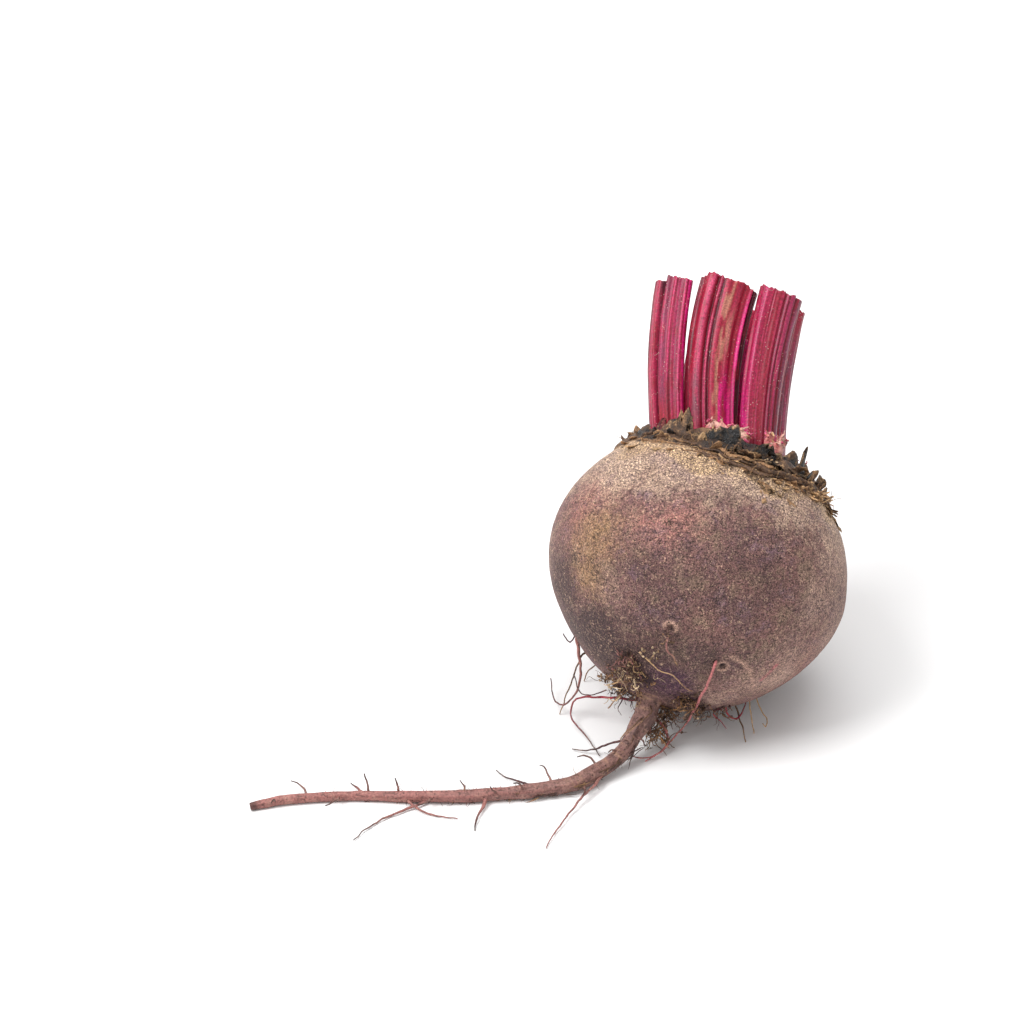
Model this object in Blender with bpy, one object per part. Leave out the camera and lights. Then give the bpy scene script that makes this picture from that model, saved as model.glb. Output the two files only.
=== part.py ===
"""A table beetroot as lifted and trimmed: bulb with its long taproot, leaf stalks cut short.

The bulb lies on its side with the crown laid back and to the right, on a small flat spot whose centre is
the origin. The taproot comes forward, bends to the left and lies along the ground. Everything on the crown
is placed in the crown frame: its origin is the middle of the bulb, its Z runs from the root to the crown,
its X runs across to the right and its Y runs to the back.
"""

import math
import random
from typing import NamedTuple

import bmesh
import bpy
import numpy as np
from mathutils import Matrix, Vector

MM = 0.001

# The bulb: the crown half and the root half are each radius * (1 - (height / reach) ** bow) ** fullness.
BULB_RADIUS = 36.0 * MM
CROWN_REACH, CROWN_BOW, CROWN_FULLNESS = 31.0 * MM, 1.85, 0.40
ROOT_REACH, ROOT_BOW, ROOT_FULLNESS = 34.4 * MM, 1.80, 0.55
BULB_LOBES = ((2, 0.010, 0.6), (3, 0.007, 2.1), (5, 0.004, 4.0))  # waves round it, their share, their turn
BULB_CENTRE = Vector((-0.15, -1.42, 33.25)) * MM
BULB_AROUND, BULB_ALONG = 48, 28

# How it lies: laid back from upright, leaned to the right, then tipped a little further back.
LAID_BACK, LEANED_RIGHT, TIPPED_BACK = math.radians(34.0), math.radians(18.5), math.radians(8.0)

GAP = 0.3 * MM  # between pieces that touch
REST_CLEARANCE = 0.05 * MM  # how far above the ground a root's underside lies

# The taproot in millimetres: x and y from the bulb's middle, height above the ground, and radius.
TAPROOT = (
    (-7.3, -14.3, 17.5, 5.2), (-10.1, -19.1, 12.2, 4.0), (-12.8, -23.3, 9.0, 3.0), (-16.1, -28.0, 6.2, 2.55),
    (-19.5, -33.0, 4.3, 2.3), (-23.9, -37.7, 3.0, 2.15), (-29.3, -41.5, 2.2, 2.0), (-40.4, -45.5, 1.9, 1.8),
    (-55.7, -47.1, 1.7, 1.6), (-68.8, -47.1, 1.4, 1.3), (-82.8, -46.6, 1.2, 1.1), (-96.7, -47.9, 1.2, 1.1),
    (-102.5, -49.3, 1.1, 1.0), (-105.8, -50.3, 0.95, 0.85),
)
TAPROOT_STEP = 2.4 * MM
TAPROOT_SWELL = 0.06  # share by which the root's thickness wanders
TAPROOT_SWELL_WAVES = ((47.0, 0.0, 0.6), (83.0, 1.0, 0.4))  # turns along it, start, share of the swell

# Side rootlets with a place of their own: the radius at the start, then points given as for the taproot.
ROOTLETS = {
    "left_loop": (0.42, (-27.3, -9.8, 24.0), (-29.2, -11.1, 21.5), (-28.6, -11.7, 17.0), (-28.3, -13.7, 11.0),
                  (-29.5, -13.8, 6.0), (-32.6, -13.5, 3.0), (-34.7, -8.9, 2.0), (-35.1, -4.3, 4.0)),
    "left_long": (0.34, (-10.3, -20.3, 10.5), (-15.5, -19.4, 9.0), (-21.2, -17.3, 8.0), (-27.8, -14.6, 6.0),
                  (-30.4, -15.1, 4.0), (-30.0, -18.1, 2.0), (-26.9, -23.5, 0.9), (-23.7, -30.6, 0.8)),
    "front_pink": (0.50, (5.6, -7.8, 17.0), (4.6, -11.9, 13.4), (1.5, -17.9, 10.6), (-2.1, -22.1, 6.8),
                   (-5.8, -26.1, 3.2), (-8.4, -28.3, 1.3), (-11.8, -31.7, 0.9), (-17.4, -32.7, 2.4)),
    "front_long": (0.42, (-21.8, -35.9, 3.0), (-24.4, -42.4, 2.4), (-28.8, -48.7, 1.5), (-32.3, -54.9, 0.9),
                   (-35.2, -60.3, 0.6), (-36.8, -65.0, 0.5)),
    "far_grey": (0.38, (-63.6, -46.9, 1.2), (-66.2, -49.3, 0.8), (-70.8, -51.9, 0.6), (-75.4, -55.0, 0.5),
                 (-78.8, -58.7, 0.5), (-81.4, -62.0, 0.5)),
    "middle_spur": (0.55, (-50.3, -45.9, 1.9), (-51.2, -49.3, 1.3), (-52.4, -53.3, 0.8), (-53.4, -58.3, 0.5)),
    "thorn": (0.45, (-79.0, -46.6, 1.2), (-80.8, -43.5, 1.1), (-82.7, -40.9, 0.6)),
    "far_curl": (0.34, (-70.0, -46.9, 1.3), (-67.4, -50.3, 0.8), (-62.8, -52.9, 0.5), (-57.4, -54.1, 0.4)),
    "back_thread": (0.34, (-39.0, -44.9, 2.0), (-43.4, -41.1, 1.2), (-46.8, -38.3, 0.6), (-48.6, -35.7, 0.5)),
    "dark_thread": (0.34, (-17.2, -30.7, 5.6), (-22.1, -29.5, 3.4), (-25.4, -29.2, 1.4), (-30.4, -27.7, 0.5)),
    "foot_curl": (0.40, (-13.4, -24.9, 8.2), (-9.2, -25.9, 6.6), (-7.4, -27.5, 3.2), (-9.4, -30.3, 1.4),
                  (-13.0, -33.3, 0.9)),
}
ROOTLET_TIP_RADIUS = 0.24 * MM
ROOTLET_STEP = 3.0 * MM

# Rootlets placed by a rule: how many, how thick, how long, and where.
SPUR_COUNT, SPUR_RADIUS, SPUR_STEP = 15, 0.34 * MM, 1.6 * MM
SPUR_LENGTHS = (2.5 * MM, 6.0 * MM)
SPUR_FIRST, SPUR_LAST = 0.14, 0.98  # shares of the taproot's length
FOOT_ROOT_COUNT, FOOT_ROOT_RADIUS, FOOT_ROOT_STEP = 9, 0.36 * MM, 2.0 * MM
FOOT_ROOT_REACH = (5.0 * MM, 10.0 * MM)
FOOT_ROOT_ROWS = (4, 5, 6, 7)  # rows of the taproot's route that they leave from
FOOT_ROOT_CURL = (0.5, 1.1)  # radians
UNDER_ROOT_COUNT, UNDER_ROOT_RADIUS, UNDER_ROOT_STEP = 5, 0.36 * MM, 2.5 * MM
UNDER_ROOT_ANGLES = (math.radians(8.0), math.radians(168.0))
UNDER_ROOT_HEIGHTS = (24.0 * MM, 29.0 * MM)  # below the middle of the bulb
UNDER_ROOT_REACH = (4.0 * MM, 7.0 * MM)
GOLDEN_ANGLE = math.pi * (3.0 - math.sqrt(5.0))
SEED = 31


class Stalk(NamedTuple):
    """A leaf stalk in the crown frame, in millimetres and degrees.

    It stands at (x, y) at the foot, at the waist and at the cut, whose height is top. Its ribbed back faces
    the way that facing says. It is foot_width across where it starts and width across where it is cut.
    """

    foot: tuple[float, float]
    waist: tuple[float, float]
    tip: tuple[float, float]
    top: float
    facing: float
    foot_width: float
    width: float
    depth: float
    ribs: int


STALK_FOOT_HEIGHT, STALK_WAIST_HEIGHT = 24.0 * MM, 44.0 * MM
LEAF_STALKS = (
    Stalk((-15.0, -3.0), (-22.4, -3.0), (-27.0, -3.0), 64.9, 218.0, 11.0, 11.6, 6.2, 5),
    Stalk((-4.2, -5.8), (-11.3, -6.0), (-14.4, -6.6), 67.8, 277.0, 13.2, 14.2, 6.6, 6),
    Stalk((6.3, -7.2), (0.9, -7.4), (-2.0, -7.0), 69.0, 290.0, 9.4, 11.3, 6.0, 6),
    Stalk((11.2, 6.2), (5.6, 6.2), (2.0, 6.2), 68.8, 0.0, 9.0, 9.0, 6.0, 5),
    Stalk((-0.5, 6.2), (-4.2, 6.2), (-7.4, 6.4), 66.0, 90.0, 9.5, 10.0, 5.8, 5),
    Stalk((-11.2, 8.0), (-13.9, 8.4), (-16.6, 8.9), 65.0, 130.0, 8.0, 8.0, 5.4, 4),
    Stalk((4.6, 13.6), (0.4, 14.0), (-2.8, 14.6), 66.5, 75.0, 8.6, 9.0, 5.8, 5),
)
YOUNG_STALKS = (
    Stalk((-6.0, 0.5), (-9.6, 0.5), (-11.8, 0.6), 60.0, 250.0, 4.0, 4.0, 3.6, 3),
    Stalk((1.0, 1.2), (-2.3, 1.2), (-4.6, 1.2), 57.0, 290.0, 3.6, 3.6, 3.2, 3),
)
# Stubs of leaves that were torn off: (x, y), height of the torn edge, facing, width, depth.
TORN_STUBS = (
    ((-4.0, -13.0), 34.0, 270.0, 11.0, 2.0),
    ((7.5, -12.0), 35.0, 303.0, 6.4, 1.8),
    ((14.2, -4.2), 31.5, 345.0, 5.0, 2.0),
)
TORN_STUB_AROUND, TORN_STUB_BOW = 18, 0.5
TORN_EDGE_WAVES = ((0.9, 2.3), (0.6, 5.1))  # height in mm, turns to a millimetre
RIB_POINTS, INNER_POINTS, STALK_ALONG = 3, 9, 5
STALK_BACK_SHARE = 0.62  # share of a stalk's depth that lies behind its widest line
STALK_GROOVE, STALK_GROOVE_WIDTH = 1.25, 0.4  # depth and width of the hollow in its inner face
RIB_HEIGHT = 0.38 * MM

# The dry ring of old leaf bases round the stalks, in the crown frame.
COLLAR_MIDDLE = (-3.6 * MM, 1.9 * MM)
COLLAR_INNER = (21.5 * MM, 20.0 * MM)
COLLAR_OUTER = 24.9 * MM
COLLAR_OUTER_WAVES = ((1, 1.9, 2.75), (2, 1.3, 0.35), (7, 0.45, 1.0), (13, 0.35, 2.2))  # waves, mm, turn
COLLAR_LUMPS = ((9, 0.45, 0.4), (17, 0.3, 2.0))  # waves, mm, turn
COLLAR_SKIRT = 2.6 * MM  # the least it reaches outside the stalks
COLLAR_AROUND = 96
COLLAR_THICKNESS = 1.5 * MM
COLLAR_EDGE = 0.7 * MM
COLLAR_LIP = 2.2 * MM
COLLAR_LIP_THICKNESS = 0.9 * MM
COLLAR_GAP = 0.45 * MM
# Pointed flaps of the ring: direction in degrees, height in mm, half width in degrees.
COLLAR_FLAPS = (
    (231.0, 4.9, 11.0), (207.0, 1.6, 9.0), (181.0, 1.2, 8.0), (256.0, 1.6, 9.0), (318.0, 3.2, 8.0),
    (333.0, 1.4, 6.0), (349.0, 2.2, 7.0), (20.0, 2.4, 9.0), (47.0, 3.6, 10.0), (78.0, 2.2, 9.0),
    (108.0, 3.8, 10.0), (139.0, 2.4, 9.0),
)

SKIN_COLOUR, SKIN_ROUGHNESS = (0.20, 0.11, 0.10, 1.0), 0.75
STALK_COLOUR, STALK_ROUGHNESS = (0.42, 0.03, 0.10, 1.0), 0.45
YOUNG_COLOUR = (0.50, 0.03, 0.13, 1.0)
COLLAR_COLOUR, COLLAR_ROUGHNESS = (0.06, 0.04, 0.03, 1.0), 0.9
STUB_COLOUR = (0.45, 0.16, 0.15, 1.0)


def crown_frame():
    """The matrix that takes crown-frame points to the world."""
    turn = (
        Matrix.Rotation(-LAID_BACK, 4, "X")
        @ Matrix.Rotation(LEANED_RIGHT, 4, "Y")
        @ Matrix.Rotation(-TIPPED_BACK, 4, "X")
    )
    return Matrix.Translation(BULB_CENTRE) @ turn


CROWN = crown_frame()


def lobe(angle):
    """How much wider the bulb is at this angle round its axis."""
    return 1.0 + sum(share * math.cos(waves * angle + turn) for waves, share, turn in BULB_LOBES)


def bulb_radius(height):
    """Mean radius of the bulb at a height along its axis."""
    reach, bow, fullness = (
        (CROWN_REACH, CROWN_BOW, CROWN_FULLNESS) if height > 0 else (ROOT_REACH, ROOT_BOW, ROOT_FULLNESS)
    )
    return BULB_RADIUS * max(0.0, 1.0 - abs(height / reach) ** bow) ** fullness


def crown_height(x, y):
    """Height of the crown's skin above a point of the crown frame."""
    share = math.hypot(x, y) / (BULB_RADIUS * lobe(math.atan2(y, x)))
    return CROWN_REACH * max(0.0, 1.0 - share ** (1.0 / CROWN_FULLNESS)) ** (1.0 / CROWN_BOW)


def material(name, colour, roughness):
    """A plain material of one colour."""
    made = bpy.data.materials.new(name)
    made.use_nodes = True
    shader = made.node_tree.nodes["Principled BSDF"]
    shader.inputs["Base Color"].default_value = colour
    shader.inputs["Roughness"].default_value = roughness
    shader.inputs["Metallic"].default_value = 0.0
    made.diffuse_color = colour
    return made


def add_mesh(name, shape, collection):
    """Makes an object of a finished bmesh and frees the bmesh."""
    bmesh.ops.recalc_face_normals(shape, faces=shape.faces)
    mesh = bpy.data.meshes.new(name)
    shape.to_mesh(mesh)
    shape.free()
    made = bpy.data.objects.new(name, mesh)
    collection.objects.link(made)
    mesh.shade_smooth()
    mesh.set_sharp_from_angle(angle=math.radians(40))
    return made


def apply_modifiers(made):
    """Replaces the object's mesh by the evaluated one, and drops its modifiers."""
    graph = bpy.context.evaluated_depsgraph_get()
    mesh = bpy.data.meshes.new_from_object(made.evaluated_get(graph))
    made.modifiers.clear()
    made.data = mesh


def placed(x, y, height):
    """World point of a place given from under the bulb's middle, in millimetres."""
    return Vector((BULB_CENTRE.x + x * MM, BULB_CENTRE.y + y * MM, height * MM))


def smooth_route(points, step):
    """Points about a step apart on the Catmull-Rom curve through rows of numbers, all columns alike."""
    rows = np.array(points, float)
    ends = np.vstack([2 * rows[0] - rows[1], rows, 2 * rows[-1] - rows[-2]])
    route = []
    for before, start, end, after in zip(ends, ends[1:], ends[2:], ends[3:]):
        count = max(1, round(np.linalg.norm((end - start)[:3]) / step))
        for share in np.arange(count) / count:
            bend = (2 * before - 5 * start + 4 * end - after) * share**2
            twist = (3 * start - before - 3 * end + after) * share**3
            route.append(0.5 * (2 * start + (end - before) * share + bend + twist))
    route.append(ends[-2])
    return np.array(route)


def tube(name, route, collection, bevel_resolution):
    """A closed mesh tube along rows of (x, y, z, radius)."""
    curve = bpy.data.curves.new(name, "CURVE")
    curve.dimensions = "3D"
    curve.bevel_depth = 1.0
    curve.bevel_resolution = bevel_resolution
    curve.use_fill_caps = True
    spline = curve.splines.new("POLY")
    spline.points.add(len(route) - 1)
    for point, (x, y, z, radius) in zip(spline.points, route):
        point.co = (x, y, z, 1.0)
        point.radius = radius
    guide = bpy.data.objects.new(name, curve)
    collection.objects.link(guide)
    bpy.context.view_layer.update()
    graph = bpy.context.evaluated_depsgraph_get()
    shape = bmesh.new()
    evaluated = bpy.data.meshes.new_from_object(guide.evaluated_get(graph))
    shape.from_mesh(evaluated)
    bmesh.ops.remove_doubles(shape, verts=shape.verts, dist=1e-6)
    bpy.data.objects.remove(guide)
    bpy.data.meshes.remove(evaluated)
    return add_mesh(name, shape, collection)


def bulb(name, collection, grow=0.0):
    """The bulb in world space, each point pushed out along the radius by grow."""
    shape = bmesh.new()
    bmesh.ops.create_uvsphere(shape, u_segments=BULB_AROUND, v_segments=BULB_ALONG, radius=1.0)
    for vertex in shape.verts:
        up = max(-1.0, min(1.0, vertex.co.z))
        angle = math.atan2(vertex.co.y, vertex.co.x)
        height = up * (CROWN_REACH if up > 0 else ROOT_REACH)
        radius = bulb_radius(height) * lobe(angle)
        local = Vector((radius * math.cos(angle), radius * math.sin(angle), height))
        if grow:
            local += local.normalized() * grow
        vertex.co = CROWN @ local
    return add_mesh(name, shape, collection)


def cut_rest_spot(made):
    """Cuts the mesh off flat at the ground."""
    shape = bmesh.new()
    shape.from_mesh(made.data)
    everything = shape.verts[:] + shape.edges[:] + shape.faces[:]
    bmesh.ops.bisect_plane(shape, geom=everything, plane_co=(0, 0, 0), plane_no=(0, 0, 1), clear_inner=True)
    bmesh.ops.holes_fill(shape, edges=[edge for edge in shape.edges if edge.is_boundary])
    bmesh.ops.recalc_face_normals(shape, faces=shape.faces)
    shape.to_mesh(made.data)
    shape.free()


def above_ground(rows):
    """Lifts each (x, y, z, radius) row so that its tube lies on the ground at the lowest."""
    rows[:, 2] = np.maximum(rows[:, 2], rows[:, 3] + REST_CLEARANCE)
    return rows


def tapered(points, radius, step):
    """A route through points in metres, thinning evenly from the radius to the tip."""
    route = smooth_route(points, step)
    shares = np.linspace(0.0, 1.0, len(route))
    radii = radius + (ROOTLET_TIP_RADIUS - radius) * shares
    return above_ground(np.column_stack([route, radii]))


def taproot_route():
    """Rows of (x, y, z, radius) along the taproot, its thickness wandering a little."""
    rows = [(*placed(x, y, height), radius * MM) for x, y, height, radius in TAPROOT]
    route = smooth_route(rows, TAPROOT_STEP)
    shares = np.linspace(0.0, 1.0, len(route))
    wander = sum(part * np.sin(shares * turns + start) for turns, start, part in TAPROOT_SWELL_WAVES)
    route[:, 3] *= 1.0 + TAPROOT_SWELL * wander * np.minimum(1.0, shares * 8.0)
    return above_ground(route)


def spur_routes(root, draw):
    """Short spurs that stand out all round the taproot and out to its tip."""
    routes = []
    for number in range(SPUR_COUNT):
        share = SPUR_FIRST + (SPUR_LAST - SPUR_FIRST) * number / (SPUR_COUNT - 1)
        row = int(share * (len(root) - 2))
        start, radius = Vector(root[row][:3]), root[row][3]
        along = (Vector(root[row + 1][:3]) - start).normalized()
        side = along.cross(Vector((0, 0, 1))).normalized()
        angle = number * GOLDEN_ANGLE
        out = side * math.cos(angle) + side.cross(along) * abs(math.sin(angle)) * 0.7
        reach = draw.uniform(*SPUR_LENGTHS)
        forward = along * draw.uniform(0.2, 0.8)
        points = [
            start + out * radius * 0.4,
            start + out * (radius + reach * 0.35) + forward * reach * 0.15,
            start + out * (radius + reach * 0.75) + forward * reach * 0.6,
            start + out * (radius + reach) + forward * reach + Vector((0, 0, draw.uniform(-1, 1) * MM)),
        ]
        routes.append(tapered(points, SPUR_RADIUS, SPUR_STEP))
    return routes


def foot_routes(root, draw):
    """Curling rootlets that leave the taproot's foot, all round it, and droop to the ground."""
    routes = []
    for number in range(FOOT_ROOT_COUNT):
        start = Vector(root[FOOT_ROOT_ROWS[number % len(FOOT_ROOT_ROWS)]][:3])
        angle = number * GOLDEN_ANGLE
        out = Vector((math.cos(angle), math.sin(angle), 0.25))
        reach = draw.uniform(*FOOT_ROOT_REACH)
        turn = Matrix.Rotation(draw.choice((-1, 1)) * draw.uniform(*FOOT_ROOT_CURL), 3, "Z")
        points = [
            start,
            start + out * reach * 0.55,
            start + out * reach * 0.6 + turn @ out * reach * 0.35 - Vector((0, 0, 2.0 * MM)),
            start + out * reach * 0.55 + turn @ out * reach * 0.8 - Vector((0, 0, 5.0 * MM)),
        ]
        routes.append(tapered(points, FOOT_ROOT_RADIUS, FOOT_ROOT_STEP))
    return routes


def under_routes(draw):
    """Rootlets that leave the root half of the bulb at its back and sides and droop to the ground."""
    routes = []
    first, last = UNDER_ROOT_ANGLES
    for number in range(UNDER_ROOT_COUNT):
        angle = first + (last - first) * number / (UNDER_ROOT_COUNT - 1)
        height = -draw.uniform(*UNDER_ROOT_HEIGHTS)
        radius = bulb_radius(height) * lobe(angle)
        skin = CROWN @ Vector((radius * math.cos(angle), radius * math.sin(angle), height))
        away = (skin - BULB_CENTRE).normalized()
        level = Vector((away.x, away.y, 0)).normalized()
        points = [
            skin - away * 1.5 * MM,
            skin + away * 1.5 * MM,
            Vector((skin.x, skin.y, skin.z * 0.45)) + level * 4.0 * MM,
            Vector((skin.x, skin.y, 0.0)) + level * draw.uniform(*UNDER_ROOT_REACH),
        ]
        routes.append(tapered(points, UNDER_ROOT_RADIUS, UNDER_ROOT_STEP))
    return routes


def bulb_and_taproot(parts, growth):
    """Bulb, taproot and rootlets, which grew as one piece, joined in one union."""
    draw = random.Random(SEED)
    made = bulb("bulb_and_taproot", parts)
    cut_rest_spot(made)
    root = taproot_route()
    tube("taproot", root, growth, bevel_resolution=2)
    for name, (radius, *points) in ROOTLETS.items():
        route = tapered([placed(*point) for point in points], radius * MM, ROOTLET_STEP)
        tube(name, route, growth, bevel_resolution=0)
    for route in spur_routes(root, draw) + foot_routes(root, draw) + under_routes(draw):
        tube("rootlet", route, growth, bevel_resolution=0)
    union = made.modifiers.new("Grown together", "BOOLEAN")
    union.operation = "UNION"
    union.operand_type = "COLLECTION"
    union.collection = growth
    union.solver = "EXACT"
    bpy.context.view_layer.update()
    apply_modifiers(made)
    for helper in list(growth.objects):
        bpy.data.objects.remove(helper)
    bpy.data.collections.remove(growth)
    return made


def quadratic(low, middle, high, heights, height):
    """The value at a height of the parabola through three values at three heights."""
    first = (middle - low) / (heights[1] - heights[0])
    second = ((high - middle) / (heights[2] - heights[1]) - first) / (heights[2] - heights[0])
    return low + first * (height - heights[0]) + second * (height - heights[0]) * (height - heights[1])


def stalk_outline(width, depth, ribs):
    """A closed crescent: a back with rounded ribs over half a turn, then an inner face hollowed along it."""
    back = np.linspace(0.0, math.pi, ribs * RIB_POINTS, endpoint=False)
    inner = np.linspace(math.pi, 2.0 * math.pi, INNER_POINTS, endpoint=False)
    ribbing = RIB_HEIGHT * (2.0 * np.abs(np.sin(ribs * back)) - 1.0) * np.minimum(1.0, 2.5 * np.sin(back))
    hollow = STALK_GROOVE * np.exp(-((np.cos(inner) / STALK_GROOVE_WIDTH) ** 2))
    across = np.cos(np.concatenate([back, inner])) * width / 2.0
    out = np.concatenate(
        [
            STALK_BACK_SHARE * depth * np.sin(back) + ribbing,
            (1.0 - STALK_BACK_SHARE) * depth * np.sin(inner) * (1.0 - hollow),
        ]
    )
    return list(zip(across.tolist(), out.tolist()))


def loft(name, rings, collection):
    """A closed solid through rings of equally many points, in the crown frame."""
    shape = bmesh.new()
    rows = [[shape.verts.new(CROWN @ Vector(point)) for point in ring] for ring in rings]
    for below, above in zip(rows, rows[1:]):
        for number in range(len(below)):
            after = (number + 1) % len(below)
            shape.faces.new((below[number], below[after], above[after], above[number]))
    shape.faces.new(rows[0][::-1])
    shape.faces.new(rows[-1])
    return add_mesh(name, shape, collection)


def stalk_rings(stalk):
    """Rings of a stalk at even heights: the outline turned to its facing, its middle on a parabola."""
    heights = (STALK_FOOT_HEIGHT, STALK_WAIST_HEIGHT, stalk.top * MM)
    turn = math.radians(stalk.facing) - math.pi / 2.0
    rings = []
    for number in range(STALK_ALONG + 1):
        share = number / STALK_ALONG
        height = STALK_FOOT_HEIGHT + share * (stalk.top * MM - STALK_FOOT_HEIGHT)
        middle = [
            quadratic(low * MM, between * MM, high * MM, heights, height)
            for low, between, high in zip(stalk.foot, stalk.waist, stalk.tip)
        ]
        width = stalk.foot_width + share * (stalk.width - stalk.foot_width)
        ring = []
        for across, out in stalk_outline(width * MM, stalk.depth * MM, stalk.ribs):
            x = middle[0] + across * math.cos(turn) - out * math.sin(turn)
            y = middle[1] + across * math.sin(turn) + out * math.cos(turn)
            ring.append((x, y, height))
        rings.append(ring)
    return rings


def cut_by_crown(made, cutter):
    """Cuts the foot of a piece to the crown, a gap away from its skin."""
    cut = made.modifiers.new("Sits on the crown", "BOOLEAN")
    cut.operation = "DIFFERENCE"
    cut.object = cutter
    cut.solver = "EXACT"


def leaf_stalk(name, stalk, collection, cutter):
    """A stalk whose foot follows the crown."""
    made = loft(name, stalk_rings(stalk), collection)
    cut_by_crown(made, cutter)
    return made


def torn_stub(name, stub, collection, cutter):
    """A short thin crescent whose upper edge is torn in points."""
    (x, y), top, facing, width, depth = stub
    turn = math.radians(facing) - math.pi / 2.0
    foot = STALK_FOOT_HEIGHT / MM
    rings = []
    for share in (0.0, 0.5, 1.0):
        ring = []
        for number in range(TORN_STUB_AROUND):
            angle = 2.0 * math.pi * number / TORN_STUB_AROUND
            across = width / 2.0 * math.cos(angle)
            bow = TORN_STUB_BOW * depth * math.sin(angle) ** 2
            out = depth / 2.0 * math.sin(angle) + bow
            tear = sum(size * math.sin(across * turns + x) for size, turns in TORN_EDGE_WAVES)
            height = foot + share * (top - foot + tear)
            ring.append(
                (
                    (x + across * math.cos(turn) - out * math.sin(turn)) * MM,
                    (y + across * math.sin(turn) + out * math.cos(turn)) * MM,
                    height * MM,
                )
            )
        rings.append(ring)
    made = loft(name, rings, collection)
    cut_by_crown(made, cutter)
    return made


def flap_height(angle):
    """Extra height of the collar's lip at an angle, where it ends in a pointed flap."""
    height = 0.0
    for direction, peak, half_width in COLLAR_FLAPS:
        away = abs((math.degrees(angle) - direction + 180.0) % 360.0 - 180.0)
        height = max(height, peak * MM * max(0.0, 1.0 - away / half_width))
    return height


def collar_section(angle):
    """The ring's outline at an angle: a standing lip inside, a low lumpy skirt out to a thin edge."""
    inner = (
        COLLAR_MIDDLE[0] + COLLAR_INNER[0] * math.cos(angle),
        COLLAR_MIDDLE[1] + COLLAR_INNER[1] * math.sin(angle),
    )
    reach = COLLAR_OUTER + MM * sum(
        size * math.cos(waves * angle + turn) for waves, size, turn in COLLAR_OUTER_WAVES
    )
    direction = math.atan2(inner[1], inner[0])
    near = math.hypot(*inner)
    far = max(reach, near + COLLAR_SKIRT)
    lump = MM * sum(size * math.sin(waves * angle + turn) for waves, size, turn in COLLAR_LUMPS)
    lip = COLLAR_LIP + flap_height(angle) + lump
    shoulder = near + COLLAR_LIP_THICKNESS
    middle = shoulder + 0.45 * (far - shoulder)
    profile = (
        (near, 0.0),
        (near, lip),
        (near + 0.75 * COLLAR_LIP_THICKNESS, lip - 0.15 * MM),
        (shoulder + 0.5 * MM, COLLAR_THICKNESS + lump),
        (middle, COLLAR_THICKNESS - lump),
        (far, COLLAR_EDGE),
        (far, 0.0),
        (middle, 0.0),
    )
    points = []
    for radius, lift in profile:
        x, y = radius * math.cos(direction), radius * math.sin(direction)
        points.append((x, y, crown_height(x, y) + COLLAR_GAP + lift))
    return points


def dry_leaf_collar(collection):
    """The collar's outline carried once round the crown."""
    shape = bmesh.new()
    rows = []
    for number in range(COLLAR_AROUND):
        section = collar_section(2.0 * math.pi * number / COLLAR_AROUND)
        rows.append([shape.verts.new(CROWN @ Vector(point)) for point in section])
    for number, row in enumerate(rows):
        following = rows[(number + 1) % COLLAR_AROUND]
        for place in range(len(row)):
            after = (place + 1) % len(row)
            shape.faces.new((row[place], row[after], following[after], following[place]))
    return add_mesh("dry_leaf_collar", shape, collection)


def clear_scene():
    """Removes every object."""
    for made in list(bpy.data.objects):
        bpy.data.objects.remove(made, do_unlink=True)


def main():
    clear_scene()
    scene = bpy.context.scene
    parts = bpy.data.collections.new("beetroot")
    cutters = bpy.data.collections.new("cutters")
    growth = bpy.data.collections.new("growth")
    for collection in (parts, cutters, growth):
        scene.collection.children.link(collection)

    root = bulb_and_taproot(parts, growth)
    root.data.materials.append(material("beet_skin", SKIN_COLOUR, SKIN_ROUGHNESS))

    cutter = bulb("crown_cutter", cutters, grow=GAP)
    cutter.hide_render = True
    cutter.display_type = "WIRE"

    for number, stalk in enumerate(LEAF_STALKS, 1):
        made = leaf_stalk(f"leaf_stalk_{number}", stalk, parts, cutter)
        made.data.materials.append(material(f"stalk_flesh_{number}", STALK_COLOUR, STALK_ROUGHNESS))
    for number, stalk in enumerate(YOUNG_STALKS, 1):
        made = leaf_stalk(f"young_stalk_{number}", stalk, parts, cutter)
        made.data.materials.append(material(f"young_flesh_{number}", YOUNG_COLOUR, STALK_ROUGHNESS))
    for number, stub in enumerate(TORN_STUBS, 1):
        made = torn_stub(f"torn_stub_{number}", stub, parts, cutter)
        made.data.materials.append(material(f"torn_flesh_{number}", STUB_COLOUR, STALK_ROUGHNESS))
    collar = dry_leaf_collar(parts)
    collar.data.materials.append(material("dry_leaf", COLLAR_COLOUR, COLLAR_ROUGHNESS))


main()
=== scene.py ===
"""Looks of a fresh, unwashed table beetroot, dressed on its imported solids.

The bulb lies on its side on a small flat spot at the origin, with its crown laid back and to the right.
The taproot comes forward, bends to the left and lies along the ground. Lengths are metres and +Z is up.
What grows on the crown is placed in the crown frame: its origin is the middle of the bulb, its Z runs from
the root to the crown, its X runs across to the right and its Y runs to the back.
"""

from __future__ import annotations

import functools
import itertools
import logging
import math
import random
from dataclasses import dataclass, field
from enum import Enum
from typing import Any, Union

import bpy
import numpy as np
from mathutils import Matrix, Vector

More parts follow.
